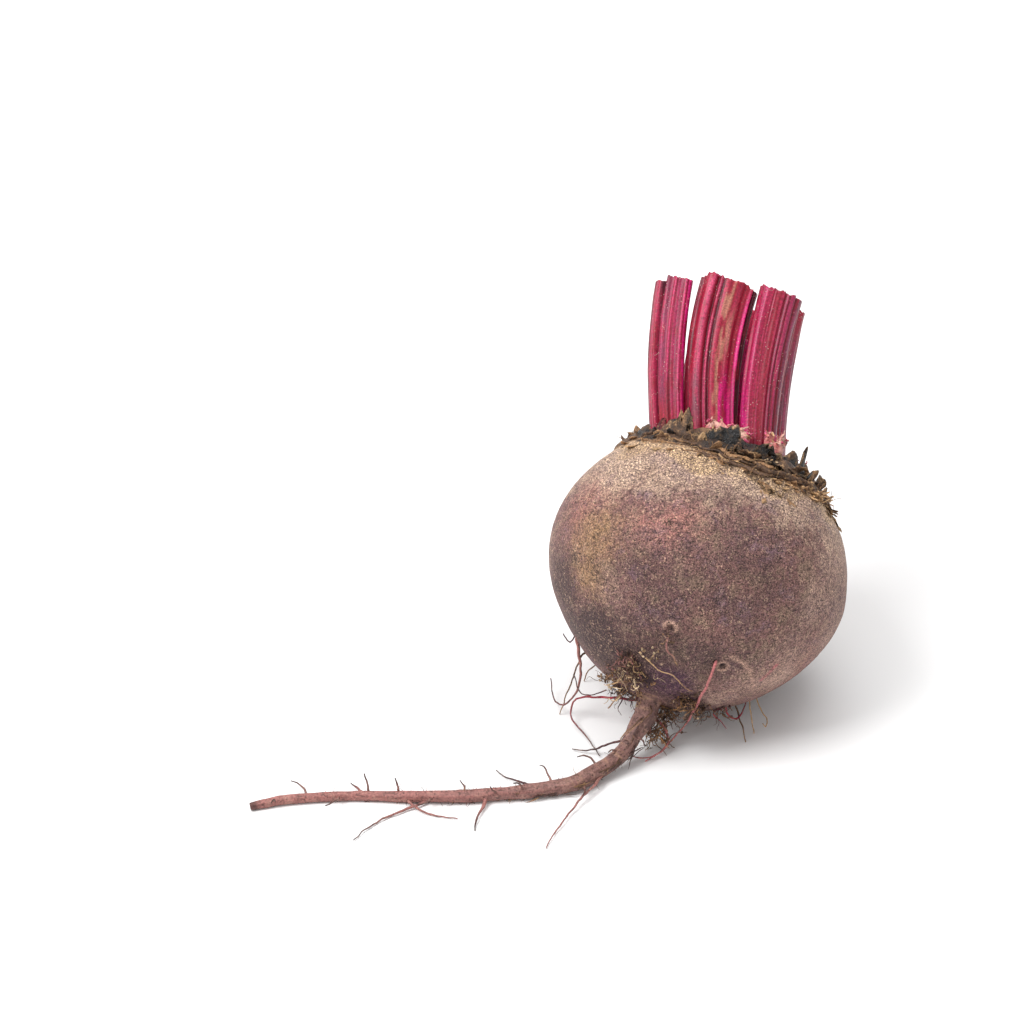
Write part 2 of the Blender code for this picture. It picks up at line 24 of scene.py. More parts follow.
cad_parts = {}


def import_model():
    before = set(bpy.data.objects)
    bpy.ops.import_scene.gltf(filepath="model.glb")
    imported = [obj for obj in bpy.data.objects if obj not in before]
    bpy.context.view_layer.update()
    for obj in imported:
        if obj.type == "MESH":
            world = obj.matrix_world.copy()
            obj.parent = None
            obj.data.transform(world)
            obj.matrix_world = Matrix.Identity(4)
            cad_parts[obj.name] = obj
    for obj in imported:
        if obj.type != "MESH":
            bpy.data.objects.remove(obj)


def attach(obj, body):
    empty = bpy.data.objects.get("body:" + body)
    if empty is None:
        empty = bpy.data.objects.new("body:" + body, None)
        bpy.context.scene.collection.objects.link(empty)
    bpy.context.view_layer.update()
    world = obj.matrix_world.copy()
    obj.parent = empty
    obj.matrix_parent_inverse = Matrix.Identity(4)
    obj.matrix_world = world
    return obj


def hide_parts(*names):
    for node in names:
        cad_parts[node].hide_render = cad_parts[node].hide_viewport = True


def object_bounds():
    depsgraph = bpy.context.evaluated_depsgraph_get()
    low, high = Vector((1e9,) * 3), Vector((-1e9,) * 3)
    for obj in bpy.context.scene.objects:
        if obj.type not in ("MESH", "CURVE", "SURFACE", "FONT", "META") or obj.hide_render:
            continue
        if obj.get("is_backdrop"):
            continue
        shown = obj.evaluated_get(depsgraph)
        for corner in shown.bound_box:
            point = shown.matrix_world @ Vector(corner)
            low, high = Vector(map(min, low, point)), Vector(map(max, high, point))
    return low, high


LOG = logging.getLogger("beetroot")
MM = 0.001
GOLDEN_ANGLE = math.pi * (3.0 - math.sqrt(5.0))
Array = np.ndarray
Colour = tuple[float, float, float]
Point = tuple[float, float, float]


def linear(red: float, green: float, blue: float) -> Colour:
    """Linear colour of three display values from 0 to 255."""
    shares = np.array([red, green, blue]) / 255.0
    low, high = shares / 12.92, ((shares + 0.055) / 1.055) ** 2.4
    made = np.where(shares <= 0.04045, low, high)
    return float(made[0]), float(made[1]), float(made[2])


class Tint(Enum):
    """The plant's own colours."""

    MAROON = linear(78, 12, 32)
    CRIMSON = linear(150, 20, 48)
    SCARLET = linear(160, 14, 38)
    ROSE = linear(172, 32, 74)
    PINK = linear(206, 84, 120)
    MAGENTA = linear(206, 8, 118)
    MAUVE = linear(158, 48, 84)
    DUSKY = linear(126, 70, 84)
    STREAK = linear(176, 122, 98)
    CREAM = linear(224, 176, 158)
    BLUSH = linear(198, 112, 106)
    CHARCOAL = linear(24, 22, 23)
    UMBER = linear(90, 64, 46)
    BARK = linear(150, 112, 78)
    STRAW = linear(194, 156, 114)
    ROOT = linear(126, 91, 84)
    ROOT_DARK = linear(62, 38, 34)
    ROOT_PINK = linear(150, 98, 92)
    THREAD_DARK = linear(74, 38, 42)
    THREAD_GREY = linear(100, 86, 82)
    SOIL = linear(100, 74, 50)
    AMBER = linear(158, 112, 68)
    CRUMB = linear(204, 176, 142)
    THREAD_PINK = linear(180, 104, 104)

    @property
    def array(self) -> Array:
        """The colour as an array of three."""
        return np.array(self.value)


def eased(low: float, high: float, values: Array) -> Array:
    """0 below low, 1 above high and 3t^2 - 2t^3 between them; low may be the larger one."""
    share = np.clip((values - low) / (high - low), 0.0, 1.0)
    return share * share * (3.0 - 2.0 * share)


def unit(vectors: Array) -> Array:
    """The vectors, each divided by its length."""
    return vectors / np.maximum(np.linalg.norm(vectors, axis=-1, keepdims=True), 1e-12)


def tinted(base: Union[Array, Tint], *layers: tuple[Union[Array, Tint], Array]) -> Array:
    """Colours with each layer's colour laid over what is below: base (1 - weight) + colour weight."""
    made = base.array if isinstance(base, Tint) else base
    for colour, weight in layers:
        made = made + ((colour.array if isinstance(colour, Tint) else colour) - made) * weight[..., None]
    return made


def even(count: int) -> Array:
    """That many even shares from 0 to 1."""
    return np.linspace(0.0, 1.0, count)


def circle(count: int) -> Array:
    """That many even angles round a circle."""
    return np.arange(count) * 2.0 * math.pi / count


def smooth_route(points: Array, step: float) -> Array:
    """Points about a step apart on the Catmull-Rom curve through rows of numbers, all columns alike.

    Args:
        points: Rows whose first three numbers are a place.
        step: The distance to keep, in metres.

    Returns:
        The rows of the curve, as in the solids' own source.
    """
    rows = np.asarray(points, float)
    ends = np.vstack([2 * rows[0] - rows[1], rows, 2 * rows[-1] - rows[-2]])
    pieces = []
    for before, start, end, after in zip(ends, ends[1:], ends[2:], ends[3:]):
        count = max(1, round(float(np.linalg.norm((end - start)[:3])) / step))
        share = (np.arange(count) / count)[:, None]
        bend = (2 * before - 5 * start + 4 * end - after) * share**2
        twist = (3 * start - before - 3 * end + after) * share**3
        pieces.append(0.5 * (2 * start + (end - before) * share + bend + twist))
    return np.vstack([*pieces, ends[-2]])


def distance_to_line(points: Array, line: Array) -> Array:
    """Distance of each point from a line of straight stretches: the least over the stretches."""
    nearest = np.full(points.shape[:-1], np.inf)
    for start, end in zip(line, line[1:]):
        along = end - start
        share = np.clip(((points - start) @ along) / (along @ along), 0.0, 1.0)
        nearest = np.minimum(nearest, np.linalg.norm(points - start - share[..., None] * along, axis=-1))
    return nearest


class Grain:
    """A random field: even random values on a cubic lattice, eased between its corners."""

    SIDE = 48

    def __init__(self, seed: int) -> None:
        """Draws the lattice's values from the seed."""
        self.values = np.random.default_rng(seed).uniform(-1.0, 1.0, (self.SIDE,) * 3)

    def at(self, points: Array, size: Any) -> Array:
        """The field at the points: the sum over a cell's 8 corners of value times eased weights.

        Args:
            points: Places, the last axis being x, y and z.
            size: Width of a lattice cell, one number or one for each axis.

        Returns:
            Values from -1 to 1.
        """
        place = np.asarray(points, float) / size
        cell = np.floor(place).astype(np.int64)
        part = place - cell
        part = part * part * (3.0 - 2.0 * part)
        total = np.zeros(place.shape[:-1])
        for corner in itertools.product((0, 1), repeat=3):
            weight = np.prod(np.where(corner, part, 1.0 - part), axis=-1)
            index = (cell + corner) % self.SIDE
            total += weight * self.values[index[..., 0], index[..., 1], index[..., 2]]
        return total

    def layered(self, points: Array, size: Any, layers: int = 3) -> Array:
        """at(p, size) + at(p, size / 2) / 2 + ..., over the sum of the shares."""
        shares = 0.5 ** np.arange(layers)
        sizes = [np.asarray(size) * share for share in shares]
        total = sum(share * self.at(points, width) for share, width in zip(shares, sizes))
        return total / shares.sum()

    def shake(self, points: Array, size: Any, layers: int) -> Array:
        """A layered field for each of x, y and z."""
        return np.stack([self.layered(points + 0.1 * axis, size, layers) for axis in range(3)], -1)


@dataclass
class Surface:
    """Points and faces as whole arrays, with what the finish reads at each point."""

    points: Array
    quads: Array
    quad_uv: Array
    triangles: Array
    triangle_uv: Array
    marks: dict[str, Array] = field(default_factory=dict)

    @staticmethod
    def joined(surfaces: list[Surface]) -> Surface:
        """One surface of several that carry the same marks."""
        shifts = np.cumsum([0] + [len(s.points) for s in surfaces[:-1]])
        return Surface(
            np.concatenate([s.points for s in surfaces]),
            np.concatenate([s.quads + shift for s, shift in zip(surfaces, shifts)]),
            np.concatenate([s.quad_uv for s in surfaces]),
            np.concatenate([s.triangles + shift for s, shift in zip(surfaces, shifts)]),
            np.concatenate([s.triangle_uv for s in surfaces]),
            {key: np.concatenate([s.marks[key] for s in surfaces]) for key in surfaces[0].marks},
        )

    def piece(self, name: str, finish: bpy.types.Material) -> bpy.types.Object:
        """Makes an object of the surface, smooth, with its finish, UV map and marks.

        Args:
            name: The piece's name.
            finish: Its material.

        Returns:
            The object, linked to the scene and standing at the origin.
        """
        mesh = bpy.data.meshes.new(name)
        corners = np.concatenate([self.quads.ravel(), self.triangles.ravel()]).astype(np.int32)
        ends = 4 * len(self.quads)
        starts = np.concatenate([np.arange(len(self.quads)) * 4, ends + np.arange(len(self.triangles)) * 3])
        mesh.vertices.add(len(self.points))
        mesh.vertices.foreach_set("co", self.points.astype(np.float32).ravel())
        mesh.loops.add(len(corners))
        mesh.loops.foreach_set("vertex_index", corners)
        mesh.polygons.add(len(starts))
        mesh.polygons.foreach_set("loop_start", starts.astype(np.int32))
        uv = np.concatenate([self.quad_uv.reshape(-1, 2), self.triangle_uv.reshape(-1, 2)])
        layer = mesh.uv_layers.new(name="surface")
        layer.data.foreach_set("uv", uv.astype(np.float32).ravel())
        for key, values in self.marks.items():
            if values.ndim == 2:
                made = mesh.attributes.new(key, "FLOAT_COLOR", "POINT")
                rgba = np.column_stack([values, np.ones(len(values))])
                made.data.foreach_set("color", rgba.astype(np.float32).ravel())
            else:
                made = mesh.attributes.new(key, "FLOAT", "POINT")
                made.data.foreach_set("value", values.astype(np.float32))
        mesh.update(calc_edges=True)
        mesh.validate()
        mesh.shade_smooth()
        mesh.materials.append(finish)
        made = bpy.data.objects.new(name, mesh)
        bpy.context.scene.collection.objects.link(made)
        return made


def lofted(points: Array, marks: dict[str, Array] | None = None, ring: bool = False) -> Surface:
    """Closed surfaces over grids of points: each row closes on itself, the end rows get a cap.

    The faces look outwards where the rows run along a direction and each row turns to the left round it.

    Args:
        points: (pieces, rows, columns, 3).
        marks: Arrays of (pieces, rows, columns) or (pieces, rows, columns, 3), by name.
        ring: True where the last row closes on the first one, so that there are no caps.

    Returns:
        The surface of all the pieces.
    """
    pieces, rows, columns = points.shape[:3]
    spans = rows if ring else rows - 1
    which, i, j = np.meshgrid(np.arange(pieces), np.arange(spans), np.arange(columns), indexing="ij")
    first = which * rows * columns
    here, there = first + i * columns, first + ((i + 1) % rows) * columns
    k = (j + 1) % columns
    quads = np.stack([here + j, here + k, there + k, there + j], -1).reshape(-1, 4)
    u, v, du, dv = j / columns, i / spans, 1.0 / columns, 1.0 / spans
    corners = [(u, v), (u + du, v), (u + du, v + dv), (u, v + dv)]
    quad_uv = np.stack([np.stack(corner, -1) for corner in corners], -2).reshape(-1, 4, 2)
    given = {key: np.asarray(values, float) for key, values in (marks or {}).items()}
    flat = {key: values.reshape((-1, *values.shape[3:])) for key, values in given.items()}
    if ring:
        none = np.zeros((0, 3), int)
        return Surface(points.reshape(-1, 3), quads, quad_uv, none, np.zeros((0, 3, 2)), flat)
    centres = np.concatenate([points[:, 0].mean(1), points[:, -1].mean(1)])
    which, j = np.meshgrid(np.arange(pieces), np.arange(columns), indexing="ij")
    k = (j + 1) % columns
    low, high = which * rows * columns, which * rows * columns + (rows - 1) * columns
    total = pieces * rows * columns
    bottom = np.stack([low + k, low + j, total + which], -1).reshape(-1, 3)
    top = np.stack([high + j, high + k, total + pieces + which], -1).reshape(-1, 3)
    span = np.stack([j, k], -1).reshape(-1, 2) / columns
    middle = span.mean(1, keepdims=True)
    bottom_uv = np.stack([np.hstack([span[:, ::-1], middle]), np.zeros((len(span), 3))], -1)
    top_uv = np.stack([np.hstack([span, middle]), np.ones((len(span), 3))], -1)
    for key, values in given.items():
        flat[key] = np.concatenate([flat[key], values[:, 0].mean(1), values[:, -1].mean(1)])
    return Surface(
        np.concatenate([points.reshape(-1, 3), centres]),
        quads,
        quad_uv,
        np.concatenate([bottom, top]),
        np.concatenate([bottom_uv, top_uv]),
        flat,
    )


def carried_sides(paths: Array, first: Array | None = None) -> Array:
    """Side vectors of a sweep that doesn't twist: each is the one before, less its part along the path.

    Args:
        paths: (pieces, rows, 3).
        first: The side each path starts from, (pieces, 3); any where it isn't given.

    Returns:
        (pieces, rows, 3) unit vectors across the paths.
    """
    tangents = unit(np.gradient(paths, axis=1))
    if first is None:
        axes = np.eye(3)[np.argmin(np.abs(tangents[:, 0]), axis=-1)]
        first = np.cross(tangents[:, 0], axes)
    sides = [first]
    for row in range(paths.shape[1]):
        along = (sides[-1] * tangents[:, row]).sum(-1, keepdims=True)
        sides.append(unit(sides[-1] - along * tangents[:, row]))
    return np.stack(sides[1:], 1)


def swept(
    paths: Array,
    width: Array,
    tone: Array,
    thickness: Array | None = None,
    first: Array | None = None,
    columns: int = 8,
) -> Surface:
    """Closed round or flattened bodies along paths.

    point = path + width cos(angle) side + thickness sin(angle) (tangent x side)

    Args:
        paths: (pieces, rows, 3).
        width: Half width, (pieces, rows) or (pieces, rows, columns).
        tone: Colour, (pieces, rows, 3) or (pieces, rows, columns, 3).
        thickness: Half thickness, (pieces, rows); the width where it isn't given.
        first: The side each path starts from.
        columns: Points round the body.

    Returns:
        The bodies as one surface that carries the mark "tone".
    """
    sides = carried_sides(paths, first)
    across = np.cross(unit(np.gradient(paths, axis=1)), sides)
    angles = circle(columns)
    width = width[..., None] if width.ndim == 2 else width
    thick = width if thickness is None else thickness[..., None]
    points = (
        paths[:, :, None]
        + (width * np.cos(angles))[..., None] * sides[:, :, None]
        + (thick * np.sin(angles))[..., None] * across[:, :, None]
    )
    if tone.ndim == 3:
        tone = np.repeat(tone[:, :, None], columns, axis=2)
    return lofted(points, {"tone": tone})


class Value:
    """A number that changes over a surface, with the sums that shader nodes do."""

    def __init__(self, graph: Graph, socket: bpy.types.NodeSocket) -> None:
        """Wraps an output socket of the graph."""
        self.graph = graph
        self.socket = socket

    def _sum(self, operation: str, first: Any, second: Any) -> Value:
        """A Math node on two values."""
        return self.graph.node("Math", {"operation": operation}, {0: first, 1: second})

    def __add__(self, other: Operand) -> Value:
        """self + other"""
        return self._sum("ADD", self, other)

    def __sub__(self, other: Operand) -> Value:
        """self - other"""
        return self._sum("SUBTRACT", self, other)

    def __rsub__(self, other: Operand) -> Value:
        """other - self"""
        return self._sum("SUBTRACT", other, self)

    def __mul__(self, other: Operand) -> Value:
        """self * other"""
        return self._sum("MULTIPLY", self, other)

    __radd__, __rmul__ = __add__, __mul__

    def __abs__(self) -> Value:
        """The size of the value."""
        return self._sum("ABSOLUTE", self, 0.0)

    def step(self, low: float, high: float) -> Value:
        """0 below low, 1 above high, smooth between them; low may be the larger one."""
        settings = {"interpolation_type": "SMOOTHSTEP", "clamp": True}
        if low < high:
            return self.graph.node("MapRange", settings, {"Value": self, "From Min": low, "From Max": high})
        turned = {"Value": self, "From Min": high, "From Max": low, "To Min": 1.0, "To Max": 0.0}
        return self.graph.node("MapRange", settings, turned)


Operand = Union[Value, float]


class Graph:
    """A material's nodes, made by one method."""

    def __init__(self, name: str) -> None:
        """Starts a material that has only its shader and its output."""
        self.material = bpy.data.materials.new(name)
        self.material.use_nodes = True
        self.tree = self.material.node_tree
        self.shader = self.tree.nodes["Principled BSDF"]

    def node(self, kind: str, settings: dict[str, Any], sockets: dict[Any, Any], output: Any = 0) -> Value:
        """Makes one node.

        Args:
            kind: The node's type, without ShaderNode in front.
            settings: Its own settings, set first.
            sockets: Values, colours or links of its inputs, by name, number or identifier.
            output: Which output is wanted, by name, number or identifier.

        Returns:
            The output.
        """
        made = self.tree.nodes.new("ShaderNode" + kind)
        for key, value in settings.items():
            setattr(made, key, value)
        for key, value in sockets.items():
            socket = self._socket(made.inputs, key)
            if isinstance(value, Value):
                self.tree.links.new(value.socket, socket)
            elif hasattr(value, "__len__"):
                room = len(socket.default_value)
                socket.default_value = (*value, 1.0)[:room]
            else:
                socket.default_value = value
        return Value(self, self._socket(made.outputs, output))

    @staticmethod
    def _socket(sockets: Any, key: Any) -> bpy.types.NodeSocket:
        """The socket of that number, identifier or name."""
        if isinstance(key, int):
            return sockets[key]
        return next(socket for socket in sockets if key in (socket.identifier, socket.name))

    def place(self) -> Value:
        """Object coordinates, in metres."""
        return self.node("TexCoord", {}, {}, "Object")

    def mark(self, name: str, colour: bool = False) -> Value:
        """What the mesh carries under that name."""
        return self.node("Attribute", {"attribute_name": name}, {}, "Color" if colour else "Fac")

    def flat(self) -> Value:
        """The piece's UV map: u runs round it and v along it."""
        return self.node("UVMap", {"uv_map": "surface"}, {}, "UV")

    def stretched(self, place: Value, scale: Point) -> Value:
        """The place with each axis multiplied."""
        return self.node("VectorMath", {"operation": "MULTIPLY"}, {0: place, 1: scale})

    def noise(self, place: Value, size: float, detail: float = 2.0, rough: float = 0.5) -> Value:
        """Smooth random values round 0.5 with features of that size in metres."""
        sockets = {"Vector": place, "Scale": 1.0 / size, "Detail": detail, "Roughness": rough}
        return self.node("TexNoise", {}, sockets, "Fac")

    def shaken(self, place: Value, size: float, by: float) -> Value:
        """The place moved by noise of that size, up to about half of by each way."""
        sockets = {"Vector": place, "Scale": 1.0 / size, "Detail": 2.0}
        noise = self.node("TexNoise", {}, sockets, "Color")
        away = self.node("VectorMath", {"operation": "SUBTRACT"}, {0: noise, 1: (0.5, 0.5, 0.5)})
        scaled = self.node("VectorMath", {"operation": "SCALE"}, {0: away, "Scale": by})
        return self.node("VectorMath", {"operation": "ADD"}, {0: place, 1: scaled})

    def cells(self, place: Value, size: float, feature: str = "F1") -> Value:
        """Distance from the middle of, or to the edge of, random cells of that size, in cells."""
        sockets = {"Vector": place, "Scale": 1.0 / size}
        return self.node("TexVoronoi", {"feature": feature}, sockets, "Distance")

    def mix(self, first: Any, second: Any, share: Operand, how: str = "MIX") -> Value:
        """first (1 - share) + second share, or another blend of two colours."""
        settings = {"data_type": "RGBA", "blend_type": how, "clamp_factor": True}
        sockets = {"Factor_Float": share, "A_Color": first, "B_Color": second}
        return self.node("Mix", settings, sockets, "Result_Color")

    def laid(self, colour: Any, *layers: tuple[Any, Operand]) -> Value:
        """The colour with each layer's colour mixed over what is below by its share."""
        for tint, share in layers:
            colour = self.mix(colour, tint, share)
        return colour

    def dimmed(self, colour: Any, by: Value) -> Value:
        """The colour with each of its parts multiplied by the value."""
        grey = self.node("CombineXYZ", {}, {0: by, 1: by, 2: by})
        return self.mix(colour, grey, 1.0, "MULTIPLY")

    def finish(self, links: dict[str, Value], plain: dict[str, Any]) -> bpy.types.Material:
        """Links the shader's changing sockets and sets its constant ones."""
        for key, value in plain.items():
            self.shader.inputs[key].default_value = value
        for key, value in links.items():
            self.tree.links.new(value.socket, self.shader.inputs[key])
        return self.material

    def bump(self, height: Value, depth: float) -> Value:
        """A normal that leans as if the surface rose by depth times the height, in metres."""
        return self.node("Bump", {}, {"Height": height, "Distance": depth, "Strength": 1.0}, "Normal")


@dataclass(frozen=True)
class SkinFinish:
    """Matt corky skin: tan islands between violet cracks at the crown, gritty grain of many colours below."""

    name: str = "beet_skin"
    ground: Colour = linear(122, 86, 81)
    shade: Colour = linear(97, 68, 68)
    olive: Colour = linear(140, 118, 96)
    violet: Colour = linear(118, 92, 104)
    crown: Colour = linear(218, 186, 160)
    rim: Colour = linear(218, 182, 132)
    crack: Colour = linear(96, 76, 80)
    ochre: Colour = linear(146, 112, 80)
    blush: Colour = linear(166, 110, 100)
    # The dark dusk colour serves the skin's dark lines and brush strokes, and the dusk patches, which are
    # partly soil and partly painted shade, most of it on the lower left.
    dusk: Colour = linear(66, 46, 46)
    plum: Colour = linear(74, 44, 62)
    bark: Colour = linear(128, 96, 90)
    scuff: Colour = linear(186, 148, 130)
    scratch: Colour = linear(178, 84, 96)
    # Pale dust; on the bulb's right side its patches are partly painted light.
    dust: Colour = linear(170, 138, 124)
    soil: Colour = linear(44, 32, 28)
    speck: Colour = linear(198, 164, 138)
    island: float = 0.8 * MM

    def build(self) -> bpy.types.Material:
        """Makes the material."""
        graph = Graph(self.name)
        place = graph.place()
        broad = graph.noise(place, 9.0 * MM, 3.0, 0.6)
        hue = graph.noise(place, 5.3 * MM, 4.0, 0.7)
        middle = graph.noise(place, 2.2 * MM, 4.0, 0.7)
        mottle = graph.noise(place, 0.78 * MM, 3.0, 0.8)
        fine = graph.noise(place, 0.44 * MM, 2.0, 0.8)
        sand = graph.noise(place, 0.29 * MM, 1.0, 0.6)
        rough = graph.mark("rough")
        ragged = (middle - 0.5) * 1.3 + (mottle - 0.5) * 0.9
        crown = (graph.mark("crown") + ragged + (broad - 0.5) * 0.8).step(0.1, 1.05)
        shaken = graph.shaken(place, 1.1 * MM, 0.9 * MM)
        edge = graph.cells(shaken, self.island, "DISTANCE_TO_EDGE")
        lines = graph.noise(graph.stretched(shaken, (0.55, 0.55, 1.5)), 0.8 * MM, 3.0, 0.6)
        swirl = graph.stretched(graph.shaken(place, 9.0 * MM, 6.0 * MM), (3.2, 1.0, 0.8))
        brush = graph.noise(swirl, 1.6 * MM, 3.0, 0.7)
        stipple = graph.cells(graph.stretched(place, (1.0, 1.0, 1.3)), 0.75 * MM).step(0.36, 0.14)
        stippled = stipple * graph.noise(place, 3.3 * MM, 3.0).step(0.4, 0.6)
        dots = graph.cells(place, 1.3 * MM).step(0.2, 0.1) * graph.noise(place, 3.1 * MM, 2.0).step(0.5, 0.6)
        pits = graph.cells(graph.stretched(place, (1.0, 1.0, 1.4)), 1.6 * MM).step(0.22, 0.1)
        pits = pits * graph.noise(place, 4.7 * MM, 2.0).step(0.46, 0.58)
        grit = graph.cells(place, 0.62 * MM).step(0.26, 0.12)
        worms = self.hairline(graph, 1.2 * MM, 1.9 * MM, (0.04, 0.012), (4.1 * MM, 3.0, 0.62))
        threads = self.hairline(graph, 3.0 * MM, 2.2 * MM, (0.02, 0.005), (1.7 * MM, 2.0, 0.6))
        # The dusk patches are partly soil and partly painted shade; the dust patches on the right side are
        # partly painted light.
        patches = {"dusk": self.dusk, "plum": self.plum, "blush": self.blush, "dust": self.dust,
                   "ochre": self.ochre}
        colour = graph.laid(
            self.ground,
            (self.shade, broad.step(0.38, 0.66)),
            (self.olive, hue.step(0.5, 0.68) * 0.6),
            (self.violet, hue.step(0.47, 0.32) * 0.6),
            *((tint, (graph.mark(kind) + ragged).step(0.1, 1.15)) for kind, tint in patches.items()),
            (self.crown, crown),
            (self.violet, hue.step(0.52, 0.36) * crown * 0.5),
            (self.rim, (graph.mark("rim") + ragged * 1.2).step(0.2, 1.0) * 0.6),
            (self.crack, edge.step(0.17, 0.02) * (crown * 0.6 + 0.14)),
            (self.dusk, lines.step(0.48, 0.34) * (0.6 - crown * 0.25)),
            (self.speck, mottle.step(0.54, 0.74) * (rough * 0.35 + 0.3)),
            (self.soil, mottle.step(0.46, 0.28) * (rough * 0.35 + 0.4) * (1.0 - crown * 0.55)),
            (self.soil, stippled * 0.55),
            (self.speck, dots * 0.5),
            (self.speck, brush.step(0.56, 0.72) * 0.3),
            (self.dusk, brush.step(0.46, 0.3) * 0.36),
            (self.soil, worms * (rough * 0.5 + 0.3)),
            (self.soil, pits * (rough * 0.2 + 0.65)),
            (self.bark, graph.mark("bark")),
            (self.scuff, graph.mark("scuff") * (mottle * 1.2 + 0.2)),
            (self.scratch, graph.mark("scratch") * (fine * 1.4 + 0.1)),
            (self.speck, threads * graph.noise(place, 6.0 * MM, 2.0).step(0.46, 0.6) * 0.6),
            (self.soil, graph.mark("soil") * (middle.step(0.3, 0.6) * 0.6 + 0.35)),
        )
        colour = graph.dimmed(colour, (fine - 0.5) * 2.8 + (sand - 0.5) * 3.2 + 1.0)
        colour = graph.mix(colour, self.speck, grit * middle.step(0.42, 0.6) * 0.6)
        relief = fine * 0.5 + mottle * 0.6 + sand * 0.3 + brush * 0.5 + lines * 0.35
        relief = relief - worms * 0.4 - pits * 0.6 - stipple * 0.2
        relief = relief + edge.step(0.0, 0.22) * (crown * 0.5 + 0.12)
        return graph.finish(
            {"Base Color": colour, "Roughness": middle * 0.3 + 0.5, "Normal": graph.bump(relief, 0.30 * MM)},
            {"Specular IOR Level": 0.3},
        )

    @staticmethod
    def hairline(graph: Graph, shake: float, size: float, width: tuple[float, float], where: Point) -> Value:
        """Thin wandering lines: where a shaken noise is near its middle, broken up by a second noise.

        Args:
            graph: The material's nodes.
            shake: Size of what shakes the lines; they move by two thirds of it.
            size: Size of the noise whose middle they follow.
            width: How far from the middle they end, and where they are full.
            where: Size, detail and upper step of the noise that breaks them up.

        Returns:
            1 on the lines.
        """
        place = graph.place()
        noise = graph.noise(graph.shaken(place, shake, shake * 2.0 / 3.0), size, 0.0)
        broken = graph.noise(place, where[0], where[1]).step(0.5, where[2])
        return abs(noise - 0.5).step(*width) * broken


@dataclass(frozen=True)
class RootFinish:
    """Root bark: the colour each point carries, wrinkled along the root and flecked with soil."""

    name: str
    fleck: Colour = Tint.ROOT_DARK.value
    dust: Colour = linear(172, 134, 120)
    wrinkle: float = 0.16 * MM
    streaks: Point = (9.0, 34.0, 1.0)

    def build(self) -> bpy.types.Material:
        """Makes the material."""
        graph = Graph(self.name)
        place = graph.place()
        fine = graph.noise(place, 0.5 * MM, 3.0, 0.65)
        middle = graph.noise(place, 1.9 * MM, 3.0, 0.6)
        streak = graph.noise(graph.stretched(graph.flat(), self.streaks), 1.0, 3.0, 0.65)
        colour = graph.laid(
            graph.mark("tone", colour=True),
            (self.dust, middle.step(0.5, 0.7) * 0.4),
            (self.fleck, streak.step(0.47, 0.3) * 0.6),
            (self.dust, streak.step(0.56, 0.72) * 0.4),
            (self.fleck, graph.noise(place, 1.0 * MM, 3.0, 0.75).step(0.45, 0.3) * 0.75),
        )
        colour = graph.dimmed(colour, (fine - 0.5) * 2.0 + 1.0)
        normal = graph.bump(fine * 0.6 + middle * 0.6 + streak * 0.9, self.wrinkle)
        return graph.finish(
            {"Base Color": colour, "Roughness": middle * 0.3 + 0.42, "Normal": normal},
            {"Specular IOR Level": 0.4},
        )


@dataclass(frozen=True)
class StalkFinish:
    """Ribbed stalk flesh: the colour each point carries, with fine fibres along it and dust on the skin."""

    name: str = "stalk_flesh"
    pale: Colour = linear(210, 66, 116)
    deep: Colour = linear(82, 8, 30)
    dust: Colour = linear(214, 184, 172)
    fibres: Point = (48.0, 1.4, 1.0)
    streaks: Point = (18.0, 1.1, 1.0)

    def build(self) -> bpy.types.Material:
        """Makes the material. The fibres follow the UV map."""
        graph = Graph(self.name)
        place, flat = graph.place(), graph.flat()
        fibre = graph.noise(graph.stretched(flat, self.fibres), 1.0, 2.0, 0.6)
        broad = graph.noise(graph.stretched(flat, self.streaks), 1.0, 3.0, 0.6)
        fine = graph.noise(place, 0.45 * MM, 2.0, 0.6)
        dots = graph.cells(place, 0.7 * MM).step(0.22, 0.1)
        dots = dots * graph.noise(place, 3.4 * MM, 2.0).step(0.46, 0.62)
        colour = graph.laid(
            graph.mark("tone", colour=True),
            (self.pale, broad.step(0.52, 0.72) * 0.36),
            (self.deep, broad.step(0.48, 0.28) * 0.6),
            (self.pale, fibre.step(0.58, 0.74) * 0.34),
            (self.deep, fibre.step(0.44, 0.28) * 0.45),
            (self.dust, dots * 0.7),
        )
        colour = graph.dimmed(colour, (fine - 0.5) * 2.0 + 1.0)
        normal = graph.bump(fibre * 0.8 + fine * 0.35 + dots * 0.4, 0.10 * MM)
        roughness = fine * 0.3 + 0.28 + graph.mark("flesh") * 0.1
        return graph.finish(
            {"Base Color": colour, "Roughness": roughness, "Normal": normal},
            {"Specular IOR Level": 0.5, "Subsurface Weight": 0.12, "Subsurface Scale": 1.0,
             "Subsurface Radius": (0.002, 0.0004, 0.0007)},
        )


@dataclass(frozen=True)
class DryLeafFinish:
    """Dry leaf remains: the colour each point carries, veined, with damp black stretches that shine."""

    name: str = "dry_leaf"
    edge: Colour = linear(176, 138, 98)
    dark: Colour = linear(26, 22, 22)

    def build(self) -> bpy.types.Material:
        """Makes the material."""
        graph = Graph(self.name)
        place = graph.place()
        fine = graph.noise(place, 0.4 * MM, 3.0, 0.7)
        middle = graph.noise(graph.shaken(place, 2.0 * MM, 1.2 * MM), 1.3 * MM, 4.0, 0.7)
        damp = graph.mark("tone").step(0.045, 0.015)
        colour = graph.laid(
            graph.mark("tone", colour=True),
            (self.edge, middle.step(0.55, 0.66) * (0.75 - damp * 0.6)),
            (self.dark, middle.step(0.46, 0.34) * 0.6),
        )
        colour = graph.dimmed(colour, (fine - 0.5) * 4.0 + 1.0)
        normal = graph.bump(fine * 0.8 + middle, 0.42 * MM)
        return graph.finish(
            {"Base Color": colour, "Roughness": middle * 0.6 + 0.3 - damp * 0.3, "Normal": normal},
            {"Specular IOR Level": 0.5},
        )


